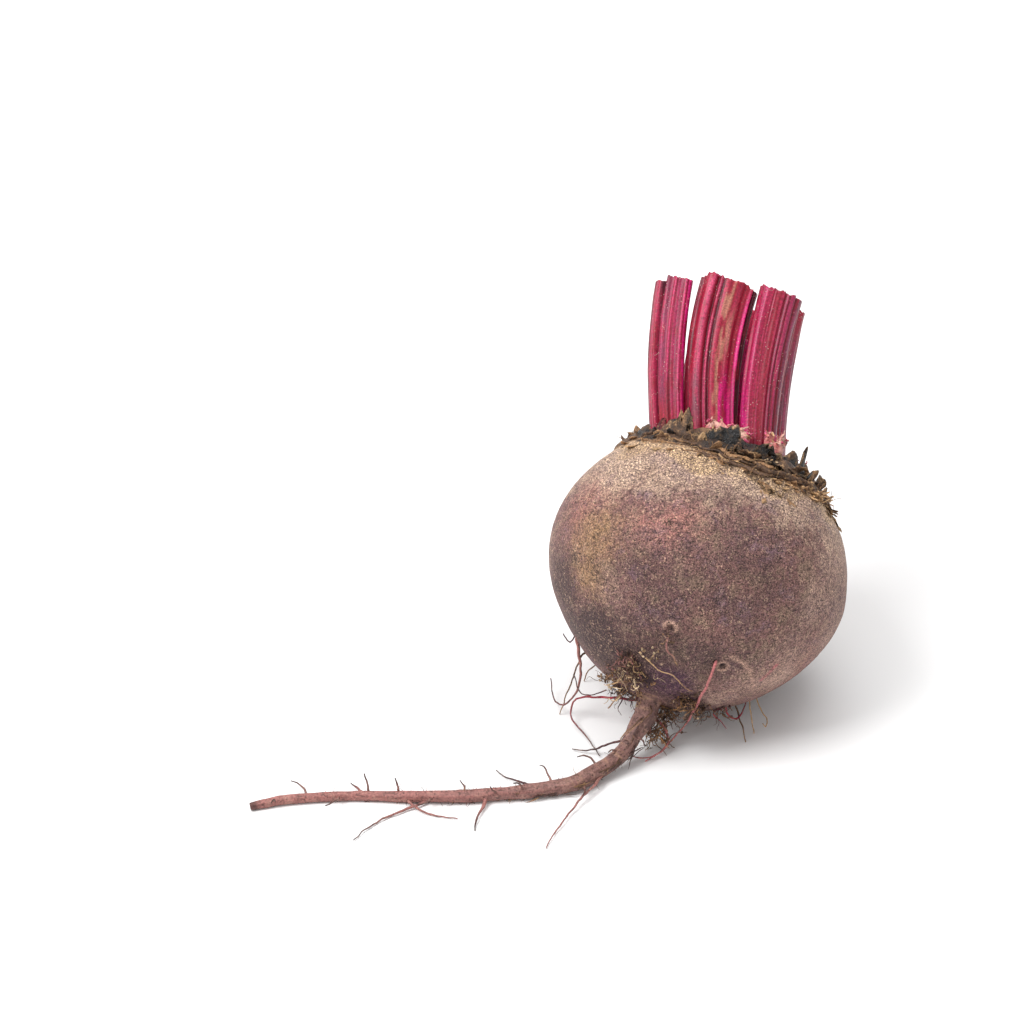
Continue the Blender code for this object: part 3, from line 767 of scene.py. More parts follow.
@dataclass(frozen=True)
class FloorFinish:
    """A plain white studio sweep."""

    name: str = "studio_floor"
    colour: Colour = (0.9, 0.9, 0.9)

    def build(self) -> bpy.types.Material:
        """Makes the material."""
        plain = {"Base Color": (*self.colour, 1.0), "Roughness": 0.9, "Specular IOR Level": 0.1}
        return Graph(self.name).finish({}, plain)


@dataclass
class BulbForm:
    """The bulb's form, as in the solids: radius (1 - (height / reach) ^ bow) ^ fullness, times the lobes."""

    radius: float = 36.0 * MM
    crown_shape: Point = (31.0 * MM, 1.85, 0.40)
    root_shape: Point = (34.4 * MM, 1.80, 0.55)
    lobes: tuple[Point, ...] = ((2, 0.010, 0.6), (3, 0.007, 2.1), (5, 0.004, 4.0))
    centre: Point = (-0.15 * MM, -1.42 * MM, 33.25 * MM)
    laid_back: float = math.radians(34.0)
    leaned_right: float = math.radians(18.5)
    tipped_back: float = math.radians(8.0)

    def __post_init__(self) -> None:
        """Works out the crown frame."""
        turn = (
            Matrix.Rotation(-self.laid_back, 3, "X")
            @ Matrix.Rotation(self.leaned_right, 3, "Y")
            @ Matrix.Rotation(-self.tipped_back, 3, "X")
        )
        self.turn = np.array(turn)
        self.origin = np.array(self.centre)

    def to_world(self, points: Array) -> Array:
        """Crown-frame points in the world."""
        return points @ self.turn.T + self.origin

    def to_crown(self, points: Array) -> Array:
        """World points in the crown frame."""
        return (points - self.origin) @ self.turn

    def placed(self, x: float, y: float, height: float) -> Array:
        """World point given in millimetres from under the bulb's middle."""
        return np.array([self.centre[0] + x * MM, self.centre[1] + y * MM, height * MM])

    def lobe(self, angles: Array) -> Array:
        """1 + the sum of share cos(waves angle + turn)."""
        return 1.0 + sum(share * np.cos(waves * angles + turn) for waves, share, turn in self.lobes)

    def crown_height(self, x: Array, y: Array) -> Array:
        """Height of the crown's skin: reach (1 - (rho / (radius lobe)) ^ (1 / fullness)) ^ (1 / bow)."""
        reach, bow, fullness = self.crown_shape
        share = np.hypot(x, y) / (self.radius * self.lobe(np.arctan2(y, x)))
        return reach * np.maximum(0.0, 1.0 - share ** (1.0 / fullness)) ** (1.0 / bow)

    def on_crown(self, angle: Array, radius: Array, lift: Any, centre: Any = (0.0, 0.0)) -> Array:
        """Crown-frame points over the crown's skin, at an angle and a radius about a centre, and a lift."""
        x, y = centre[0] + radius * np.cos(angle), centre[1] + radius * np.sin(angle)
        return np.stack([x, y, self.crown_height(x, y) + lift], -1)

    def level(self, points: Array) -> Array:
        """(rho / (radius lobe)) ^ (1 / fullness) + (height / reach) ^ bow: 1 on the skin, less inside it."""
        x, y, z = points[..., 0], points[..., 1], points[..., 2]
        up = z > 0
        reach, bow, fullness = (np.where(up, a, b) for a, b in zip(self.crown_shape, self.root_shape))
        share = np.hypot(x, y) / (self.radius * self.lobe(np.arctan2(y, x)))
        return share ** (1.0 / fullness) + np.abs(z / reach) ** bow

    def skin_distance(self, directions: Array) -> Array:
        """Distance of the skin from the middle along unit directions, by halving the span 0 to 60 mm."""
        low = np.zeros(directions.shape[:-1])
        high = np.full(directions.shape[:-1], 60.0 * MM)
        for _ in range(26):
            middle = (low + high) / 2.0
            inside = self.level(directions * middle[..., None]) < 1.0
            low, high = np.where(inside, middle, low), np.where(inside, high, middle)
        return (low + high) / 2.0

    def kept_outside(self, points: Array, clearance: Array | float) -> Array:
        """World points, those inside the skin or nearer than the clearance moved out along the radius."""
        local = self.to_crown(points)
        away = np.linalg.norm(local, axis=-1)
        needed = self.skin_distance(unit(local)) + clearance
        return self.to_world(unit(local) * np.maximum(away, needed)[..., None])


@dataclass
class Bulb:
    """The bulb's skin, with the scars and hollows of its root half and the ridges under its collar.

    Places are in the crown frame, in millimetres. Each soft round patch of colour is a place, a radius and
    a strength.
    """

    form: BulbForm
    rows: int = 230
    columns: int = 420
    foot: Point = (-2.0, -5.3, -33.4)
    pale_gap: Point = (-1.9, -32.2, 12.6)
    scar: Point = (-3.4, -28.5, -19.2)
    holes: tuple[Point, ...] = ((9.4, -23.9, -22.6), (11.1, -22.9, -22.8))
    hollows: tuple[Point, ...] = ((-4.6, -12.8, -30.4), (-8.5, -13.0, -29.4))
    crease: tuple[Point, ...] = (
        (2.9, -26.5, 21.8), (9.4, -27.2, 19.0), (15.5, -24.9, 17.8), (24.1, -14.0, 20.0))
    scratch: tuple[Point, ...] = ((23.2, -18.6, -17.9), (21.2, -15.4, -22.0))
    scuffs: tuple[tuple[Point, ...], ...] = (
        ((12.2, -24.9, -20.4), (15.4, -23.0, -20.4), (17.4, -20.6, -21.2), (18.6, -17.8, -22.5)),
        ((18.6, -17.8, -22.5), (19.8, -15.0, -23.4), (20.3, -12.3, -24.2)),
    )
    patches: tuple[tuple[str, tuple[tuple[float, ...], ...]], ...] = (
        ("ochre", (
            (-25.2, -23.0, -4.2, 9.0, 1.0), (-26.0, -22.0, -12.0, 7.0, 0.9), (-29.0, -17.0, 4.0, 5.0, 0.5),
            (24.0, 24.0, 4.0, 9.0, 0.8))),
        ("blush", (
            (-31.0, -17.3, 6.0, 10.0, 0.8), (-10.8, -34.1, 3.0, 8.0, 0.8), (-17.0, -30.0, 3.0, 6.0, 0.7),
            (29.0, -8.0, -12.0, 12.0, 0.6), (-20.0, 28.0, 2.0, 13.0, 0.7))),
        # dusk: partly soil and partly painted shade, most of it on the lower left of the bulb.
        ("dusk", (
            (-12.9, -32.0, -9.0, 9.0, 0.7), (-25.5, -6.1, -22.0, 10.0, 1.1),
            (-14.6, -14.4, -26.7, 9.0, 1.0), (0.1, -34.5, -9.1, 9.0, 0.5), (2.0, -35.0, -4.0, 10.0, 0.7),
            (-4.7, -25.7, -24.0, 12.0, 0.8), (9.0, -24.0, -24.0, 9.0, 0.7), (-27.4, -3.0, -23.0, 9.0, 0.8),
            (14.0, -33.0, -3.0, 8.0, 0.5), (-18.5, -13.0, -25.0, 11.0, 1.3),
            (-29.0, -8.0, -15.0, 9.0, 1.2), (-9.0, -16.0, -28.0, 9.0, 1.2), (10.0, 32.0, -8.0, 16.0, 0.7))),
        ("plum", (
            (2.0, -15.0, -29.6, 6.5, 1.5), (-3.0, -10.0, -31.6, 5.0, 1.2), (6.0, -10.0, -31.3, 4.0, 1.2))),
        # dust: pale dust; the patches with x above 0 are partly painted light that brightens the right edge
        # and the lower right.
        ("dust", (
            (28.1, -22.5, -0.8, 9.0, 0.8), (24.0, -12.0, -21.0, 9.0, 0.9), (31.0, -10.0, -4.0, 11.0, 0.9),
            (-20.0, -25.0, -13.0, 7.0, 0.5), (18.0, -14.0, -25.0, 8.0, 0.8),
            (29.2, -16.4, 10.3, 14.0, 0.8), (26.0, -18.0, -14.6, 10.0, 0.6),
            (14.0, -12.0, -29.0, 8.0, 0.7), (-33.0, 4.0, -4.0, 14.0, 0.6), (-4.0, 33.0, 8.0, 11.0, 0.7))),
        ("rough", (
            (-24.8, -24.0, -8.9, 10.0, 1.0), (-10.9, -34.0, 2.4, 9.0, 1.0), (15.3, -27.5, 14.2, 12.0, 1.0),
            (-6.0, -33.1, 9.9, 9.0, 0.7), (-14.6, -14.4, -26.7, 8.0, 0.8), (4.0, -28.3, -19.4, 9.0, 0.6),
            (20.0, 24.0, 4.0, 13.0, 0.8))),
    )

    @staticmethod
    def near(local: Array, place: Any, width: float, ring: float = 0.0) -> Array:
        """exp(-((distance from the place - ring) / width)^2), in millimetres."""
        away = np.linalg.norm(local / MM - np.array(place), axis=-1)
        return np.exp(-(((away - ring) / width) ** 2))

    @staticmethod
    def beside(local: Array, line: Any, width: float) -> Array:
        """exp(-(distance from the line / width)^2), in millimetres."""
        return np.exp(-((distance_to_line(local, np.array(line) * MM) / (width * MM)) ** 2))

    def relief(self, local: Array) -> Array:
        """How far the skin stands out at crown-frame points: waves of three sizes, then each feature.

        Args:
            local: The points, in metres.

        Returns:
            The sum of the waves and of hills, rings and ridges: height exp(-(distance / width)^2).
        """
        grain = Grain(5)
        rise = 0.45 * MM * grain.layered(local, 24.0 * MM, 2)
        rise += 0.12 * MM * grain.layered(local + 0.1, 5.0 * MM, 3)
        rise += 0.05 * MM * grain.layered(local + 0.2, 1.6 * MM, 2)
        hills = ((self.foot, 0.7, 3.4, 0.0), (self.scar, 0.6, 0.5, 1.6), (self.scar, -0.5, 0.8, 0.0),
                 (self.holes[1], 0.35, 0.5, 1.4), (self.holes[0], -0.8, 0.65, 0.0),
                 (self.holes[1], -0.8, 0.65, 0.0), (self.hollows[0], -1.3, 2.0, 0.0),
                 (self.hollows[1], -0.7, 1.6, 0.0))
        for place, height, width, ring in hills:
            rise += height * MM * self.near(local, place, width, ring)
        bank = np.array(self.crease) - [0.0, 2.5, -2.0]
        rise += 0.6 * MM * self.beside(local, bank, 1.5) - 0.9 * MM * self.beside(local, self.crease, 0.9)
        rise += 0.16 * MM * sum(self.beside(local, scuff, 0.5) for scuff in self.scuffs)
        around = np.hypot(local[..., 0] + 1.0 * MM, local[..., 1])
        rim = np.exp(-(((around - 25.6 * MM) / (1.8 * MM)) ** 2)) * (local[..., 2] > 0)
        return rise + rim * 0.55 * MM * (1.0 + 0.6 * grain.at(local + 0.3, 4.0 * MM))

    def zones(self, local: Array) -> dict[str, Array]:
        """How strongly each kind of colour shows at crown-frame points.

        Args:
            local: The points, in metres.

        Returns:
            Shares from 0 to 1, or a little over it, by kind.
        """
        height = local[..., 2] / MM
        wander = Grain(8).layered(local, 9.0 * MM, 3)
        gap = 1.0 - 0.5 * self.near(local, self.pale_gap, 8.0)
        soil = [0.9 * eased(25.5, 28.0, height), self.near(local, self.hollows[0], 2.4)]
        soil += [self.near(local, hole, 0.9) for hole in self.holes]
        soil += [0.45 * self.near(local, self.scar, 0.6, 0.7), 0.45 * self.near(local, self.foot, 0.6, 5.2)]
        soil += [0.6 * self.beside(local, self.crease, 0.7)]
        above = eased(-0.5, 0.8, height - self.scar[2])
        scuff = [self.near(local, self.scar, 0.5, 1.6) * above, self.near(local, self.holes[1], 0.4, 1.3)]
        scuff += [0.9 * self.beside(local, line, width) for line, width in zip(self.scuffs, (0.55, 0.35))]
        bark = 1.4 * self.near(local, self.foot, 3.6) + 0.6 * wander * self.near(local, self.foot, 6.0)
        made = {
            "crown": eased(3.0, 22.0, height + 7.0 * wander - 0.12 * local[..., 0] / MM) * gap,
            "rim": eased(16.5, 21.5, height + 5.0 * wander),
            "soil": np.max(soil, axis=0),
            "bark": np.clip(bark, 0.0, 1.0),
            "scuff": np.max(scuff, axis=0),
            "scratch": self.beside(local, self.scratch, 0.4),
        }
        for kind, listed in self.patches:
            hills = [share * self.near(local, place, radius) for *place, radius, share in listed]
            made[kind] = np.clip(np.max(hills, axis=0) * (1.0 + 0.6 * wander), 0.0, 1.3)
        return made

    def surface(self) -> Surface:
        """The skin: direction (skin distance + relief) over turn and lift, flat where it meets the ground."""
        lift = np.linspace(-math.pi / 2.0 + 0.006, math.pi / 2.0 - 0.006, self.rows)[:, None]
        turn = circle(self.columns)[None, :]
        flat = [np.cos(lift) * np.cos(turn), np.cos(lift) * np.sin(turn), np.sin(lift) + 0.0 * turn]
        directions = np.stack(flat, -1)
        local = directions * self.form.skin_distance(directions)[..., None]
        marks = {key: values[None] for key, values in self.zones(local).items()}
        world = self.form.to_world(local + directions * self.relief(local)[..., None])
        world[..., 2] = np.maximum(world[..., 2], 0.0)
        return lofted(world[None], marks)


@dataclass
class Taproot:
    """The long root: thick and wrinkled where it leaves the bulb, thin and pink towards its broken tip."""

    form: BulbForm
    stations: tuple[tuple[float, float, float, float], ...] = (
        (-6.5, -17.0, 19.5, 5.2), (-10.9, -23.4, 15.6, 3.7), (-12.2, -25.8, 13.0, 2.95),
        (-12.9, -27.3, 10.4, 2.7), (-14.4, -28.8, 8.2, 2.35), (-16.1, -30.7, 6.4, 2.0),
        (-17.9, -33.4, 4.6, 2.0), (-21.0, -36.4, 3.3, 1.9), (-23.9, -38.6, 2.7, 1.95),
        (-28.6, -42.3, 2.2, 2.05), (-33.4, -44.1, 2.0, 1.85), (-42.0, -45.7, 1.75, 1.62),
        (-55.7, -47.1, 1.6, 1.5), (-68.8, -47.1, 1.4, 1.3), (-82.8, -46.6, 1.2, 1.1),
        (-96.7, -47.9, 1.2, 1.1), (-102.5, -49.3, 1.1, 1.0), (-105.8, -50.3, 0.95, 0.85),
    )
    swell: float = 0.06
    swell_waves: tuple[Point, ...] = ((47.0, 0.0, 0.6), (83.0, 1.0, 0.4))
    clearance: float = 0.05 * MM
    columns: int = 56
    fine_step: float = 0.35 * MM

    def route(self, step: float) -> Array:
        """Rows of (x, y, z, radius): the smooth route, its radius times 1 + swell times the sum of waves."""
        rows = [(*self.form.placed(x, y, height), radius * MM) for x, y, height, radius in self.stations]
        route = smooth_route(np.array(rows), step)
        shares = even(len(route))
        wander = sum(part * np.sin(shares * turns + start) for turns, start, part in self.swell_waves)
        route[:, 3] *= 1.0 + self.swell * wander * np.minimum(1.0, shares * 8.0)
        route[:, 2] = np.maximum(route[:, 2], route[:, 3] + self.clearance)
        return route

    def surface(self) -> Surface:
        """The root: radius (1 + wrinkles along it + wrinkles across it + knots), with a dark broken end."""
        route = self.route(self.fine_step)
        share = even(len(route))[:, None]
        angle = circle(self.columns)[None, :]
        flat = [share * 140.0 * MM, 3.0 * MM * np.cos(angle), 3.0 * MM * np.sin(angle)]
        place = np.stack(np.broadcast_arrays(*flat), -1)
        grain = Grain(12)
        along = grain.layered(place, np.array([9.0, 1.1, 1.1]) * MM, 3)
        across = grain.layered(place + 0.05, np.array([0.8, 5.0, 5.0]) * MM, 2)
        knots = np.maximum(0.0, grain.at(place + 0.09, 2.6 * MM) - 0.45)
        radius = route[:, 3:4] * (1.0 + 0.13 * along + 0.035 * across + 0.22 * knots)
        cracked = eased(0.05, 0.45, along - 0.25 * np.cos(angle) * eased(0.45, 0.2, share))
        tone = tinted(
            Tint.ROOT,
            (Tint.ROOT_PINK, eased(0.25, 0.75, share + 0.25 * along)),
            (Tint.STRAW, 0.35 * eased(0.1, 0.6, across) * eased(0.5, 0.2, share)),
            (Tint.ROOT_DARK, 0.75 * cracked * eased(0.08, 0.16, share) * eased(0.6, 0.3, share)),
            (Tint.ROOT_DARK, 0.6 * eased(0.3, 0.7, -across)),
            (Tint.ROOT_DARK, 0.8 * eased(0.975, 0.995, share + 0.004 * along)),
        )
        surface = swept(route[None, :, :3], radius[None], tone[None], columns=self.columns)
        surface.points[:, 2] = np.maximum(surface.points[:, 2], 0.0)
        return surface


@dataclass(frozen=True)
class Rootlet:
    """A side root: radius where it starts, the colours of its start and its tip, then its points.

    The points are millimetres from under the bulb's middle.
    """

    radius: float
    start: Tint
    tip: Tint
    points: tuple[Point, ...]


def resampled(route: Array, count: int) -> Array:
    """The route's rows at even distances along it."""
    steps = np.linalg.norm(np.diff(route[:, :3], axis=0), axis=1)
    travelled = np.concatenate([[0.0], np.cumsum(steps)])
    wanted = np.linspace(0.0, travelled[-1], count)
    return np.column_stack([np.interp(wanted, travelled, column) for column in route.T])


@dataclass
class Rootlets:
    """Side rootlets with a place of their own, and those that stand all round by a rule."""

    form: BulbForm
    taproot: Taproot
    named: tuple[Rootlet, ...] = (
        Rootlet(0.42, Tint.ROOT_PINK, Tint.THREAD_DARK, (
            (-27.3, -9.8, 24.0), (-29.2, -11.1, 21.5), (-28.6, -11.7, 17.0), (-28.3, -13.7, 11.0),
            (-29.5, -13.8, 6.0), (-32.6, -13.5, 3.0), (-34.7, -8.9, 2.0), (-35.1, -4.3, 4.0))),
        Rootlet(0.34, Tint.CRIMSON, Tint.THREAD_GREY, (
            (-10.3, -20.3, 10.5), (-15.5, -19.4, 9.0), (-21.2, -17.3, 8.0), (-27.8, -14.6, 6.0),
            (-30.4, -15.1, 4.0), (-30.0, -18.1, 2.0), (-26.9, -23.5, 0.9), (-23.7, -30.6, 0.8))),
        Rootlet(0.37, Tint.THREAD_PINK, Tint.THREAD_PINK, (
            (3.1, -33.2, 31.0), (1.9, -35.3, 28.4), (1.0, -34.6, 24.6), (0.1, -33.4, 21.3),
            (-0.8, -31.6, 17.5), (-1.9, -29.2, 12.4), (-3.4, -27.3, 7.4), (-5.7, -26.2, 3.2),
            (-8.4, -28.3, 1.3), (-11.8, -31.7, 0.9), (-17.4, -32.7, 2.4))),
        Rootlet(0.42, Tint.ROOT_PINK, Tint.ROOT_PINK, (
            (-21.8, -35.9, 3.0), (-24.4, -42.4, 2.4), (-28.8, -48.7, 1.5), (-32.3, -54.9, 0.9),
            (-35.2, -60.3, 0.6), (-36.8, -65.0, 0.5))),
        Rootlet(0.38, Tint.ROOT_PINK, Tint.THREAD_GREY, (
            (-63.6, -46.9, 1.2), (-66.2, -49.3, 0.8), (-70.8, -51.9, 0.6), (-75.4, -55.0, 0.5),
            (-78.8, -58.7, 0.5), (-81.4, -62.0, 0.5))),
        Rootlet(0.55, Tint.ROOT_PINK, Tint.ROOT_DARK, (
            (-50.3, -45.9, 1.9), (-51.2, -49.3, 1.3), (-52.4, -53.3, 0.8), (-53.4, -58.3, 0.5))),
        Rootlet(0.45, Tint.ROOT_PINK, Tint.ROOT_DARK, (
            (-79.0, -46.6, 1.2), (-80.8, -43.5, 1.1), (-82.7, -40.9, 0.6))),
        Rootlet(0.34, Tint.ROOT_PINK, Tint.ROOT_PINK, (
            (-70.0, -46.9, 1.3), (-67.4, -50.3, 0.8), (-62.8, -52.9, 0.5), (-57.4, -54.1, 0.4))),
        Rootlet(0.34, Tint.THREAD_DARK, Tint.THREAD_GREY, (
            (-39.0, -44.9, 2.0), (-43.4, -41.1, 1.2), (-46.8, -38.3, 0.6), (-48.6, -35.7, 0.5))),
        Rootlet(0.34, Tint.THREAD_DARK, Tint.THREAD_GREY, (
            (-17.2, -30.7, 5.6), (-22.1, -29.5, 3.4), (-25.4, -29.2, 1.4), (-30.4, -27.7, 0.5))),
        Rootlet(0.42, Tint.THREAD_PINK, Tint.THREAD_PINK, (
            (-13.4, -24.9, 8.2), (-9.2, -25.9, 6.6), (-7.4, -27.5, 3.2), (-9.4, -30.3, 1.4),
            (-13.0, -33.3, 0.9))),
        Rootlet(0.15, Tint.STRAW, Tint.BARK, (
            (-13.5, -32.6, 31.0), (-10.7, -33.6, 28.6), (-6.9, -34.5, 27.4), (-4.7, -33.6, 23.4),
            (-2.3, -33.0, 21.7))),
        Rootlet(0.26, Tint.ROOT_PINK, Tint.BARK, (
            (-8.6, -34.6, 38.4), (-8.9, -35.4, 35.8), (-7.4, -35.3, 33.2), (-5.9, -35.0, 30.4))),
        Rootlet(0.26, Tint.THREAD_DARK, Tint.THREAD_DARK, (
            (-28.0, -9.0, 22.0), (-29.5, -8.8, 20.1), (-30.7, -9.7, 18.9), (-32.6, -8.4, 20.7))),
        Rootlet(0.17, Tint.THREAD_DARK, Tint.THREAD_GREY, (
            (-22.0, -16.4, 9.6), (-24.0, -16.6, 8.8), (-27.8, -16.8, 8.4), (-30.0, -14.1, 12.4))),
        Rootlet(0.17, Tint.STRAW, Tint.STRAW, (
            (11.8, -17.0, 8.4), (12.6, -19.5, 5.4), (12.9, -20.6, 3.4), (13.4, -21.6, 0.6))),
        Rootlet(0.17, Tint.STRAW, Tint.STRAW, (
            (13.8, -15.6, 7.6), (15.0, -18.0, 5.0), (16.6, -19.2, 3.4), (16.2, -20.8, 2.0),
            (15.4, -20.2, 2.6))),
        Rootlet(0.27, Tint.CRIMSON, Tint.THREAD_DARK, (
            (5.6, -21.4, 10.4), (7.4, -22.4, 6.6), (9.4, -21.4, 5.0), (11.2, -18.8, 6.8),
            (11.4, -16.0, 8.6))),
    )
    tip_radius: float = 0.13 * MM
    spurs: int = 15
    spur_lengths: tuple[float, float] = (2.5 * MM, 6.0 * MM)
    spur_span: tuple[float, float] = (0.14, 0.98)
    foot_roots: int = 9
    under_roots: int = 5
    rows: int = 72
    seed: int = 31

    def spur_points(self, root: Array, draw: random.Random) -> list[Array]:
        """Short spurs out of the taproot, each turned by the golden angle from the one before."""
        made = []
        first, last = self.spur_span
        for number in range(self.spurs):
            row = int((first + (last - first) * number / (self.spurs - 1)) * (len(root) - 2))
            start, radius = root[row, :3], root[row, 3]
            along = unit(root[row + 1, :3] - start)
            side = unit(np.cross(along, (0.0, 0.0, 1.0)))
            angle = number * GOLDEN_ANGLE
            out = side * math.cos(angle) + np.cross(side, along) * abs(math.sin(angle)) * 0.7
            reach = draw.uniform(*self.spur_lengths)
            forward = along * draw.uniform(0.2, 0.8)
            lift = np.array([0.0, 0.0, draw.uniform(-1, 1) * MM])
            made.append(np.array([
                start + out * radius * 0.4,
                start + out * (radius + reach * 0.35) + forward * reach * 0.15,
                start + out * (radius + reach * 0.75) + forward * reach * 0.6,
                start + out * (radius + reach) + forward * reach + lift,
            ]))
        return made

    def foot_points(self, root: Array, draw: random.Random) -> list[Array]:
        """Curling rootlets that leave the taproot's foot all round and droop to the ground."""
        made = []
        for number in range(self.foot_roots):
            start = root[4 + number % 4, :3]
            angle = number * GOLDEN_ANGLE
            out = np.array([math.cos(angle), math.sin(angle), 0.25])
            reach = draw.uniform(5.0 * MM, 10.0 * MM)
            bend = draw.choice((-1, 1)) * draw.uniform(0.5, 1.1)
            turned = np.array(Matrix.Rotation(bend, 3, "Z")) @ out
            made.append(np.array([
                start,
                start + out * reach * 0.55,
                start + out * reach * 0.6 + turned * reach * 0.35 - [0.0, 0.0, 2.0 * MM],
                start + out * reach * 0.55 + turned * reach * 0.8 - [0.0, 0.0, 5.0 * MM],
            ]))
        return made

    def under_points(self, draw: random.Random) -> list[Array]:
        """Rootlets that leave the root half of the bulb at its back and sides and droop to the ground."""
        made = []
        reach, bow, fullness = self.form.root_shape
        for number in range(self.under_roots):
            angle = math.radians(8.0 + 160.0 * number / (self.under_roots - 1))
            height = -draw.uniform(24.0, 29.0) * MM
            radius = self.form.radius * (1.0 - abs(height / reach) ** bow) ** fullness
            radius *= float(self.form.lobe(np.array(angle)))
            skin = self.form.to_world(np.array([radius * math.cos(angle), radius * math.sin(angle), height]))
            away = unit(skin - self.form.origin)
            level = unit(away * [1.0, 1.0, 0.0])
            made.append(np.array([
                skin - away * 1.5 * MM,
                skin + away * 1.5 * MM,
                skin * [1.0, 1.0, 0.45] + level * 4.0 * MM,
                skin * [1.0, 1.0, 0.0] + level * draw.uniform(4.0 * MM, 7.0 * MM),
            ]))
        return made

    def surface(self) -> Surface:
        """Every rootlet: its radius thins evenly to the tip and wavers a little."""
        root = self.taproot.route(2.4 * MM)
        draw = random.Random(self.seed)
        listed = [
            (np.array([self.form.placed(*point) for point in rootlet.points]), rootlet.radius,
             rootlet.start, rootlet.tip)
            for rootlet in self.named
        ]
        listed += [(points, 0.34, Tint.ROOT, Tint.ROOT_DARK) for points in self.spur_points(root, draw)]
        listed += [(points, 0.24, Tint.UMBER, Tint.BARK) for points in self.foot_points(root, draw)]
        listed += [(points, 0.24, Tint.UMBER, Tint.BARK) for points in self.under_points(draw)]
        share = even(self.rows)
        paths = np.stack([resampled(smooth_route(points, 1.0 * MM), self.rows) for points, *_ in listed])
        starts = np.array([radius * MM for _, radius, *_ in listed])[:, None]
        grain = Grain(14)
        shake = grain.shake(paths, 2.4 * MM, 2)
        paths = paths + 0.35 * MM * shake * np.minimum(1.0, share * 6.0)[None, :, None]
        radii = (starts + (self.tip_radius - starts) * share) * (1.0 + 0.18 * grain.at(paths, 1.2 * MM))
        paths[..., 2] = np.maximum(paths[..., 2], radii + 0.05 * MM)
        tones = np.stack([tinted(start, (tip, eased(0.35, 1.0, share))) for _, _, start, tip in listed])
        return swept(paths, radii, tones, columns=8)


# Leaf stalks.


@dataclass(frozen=True)
class Band:
    """A stripe of colour along a stalk: from one share of its width, left to right, to another.

    low and high are shares of its height between which the stripe shows.
    """

    tint: Tint
    start: float
    end: float
    strength: float = 1.0
    low: float = -0.2
    high: float = 1.2


@dataclass(frozen=True)
class Rib:
    """A rounded rib (or a furrow, where its height is below 0) along a stalk's back, in mm.

    place and width are shares of the stalk's width.
    """

    place: float
    height: float
    width: float


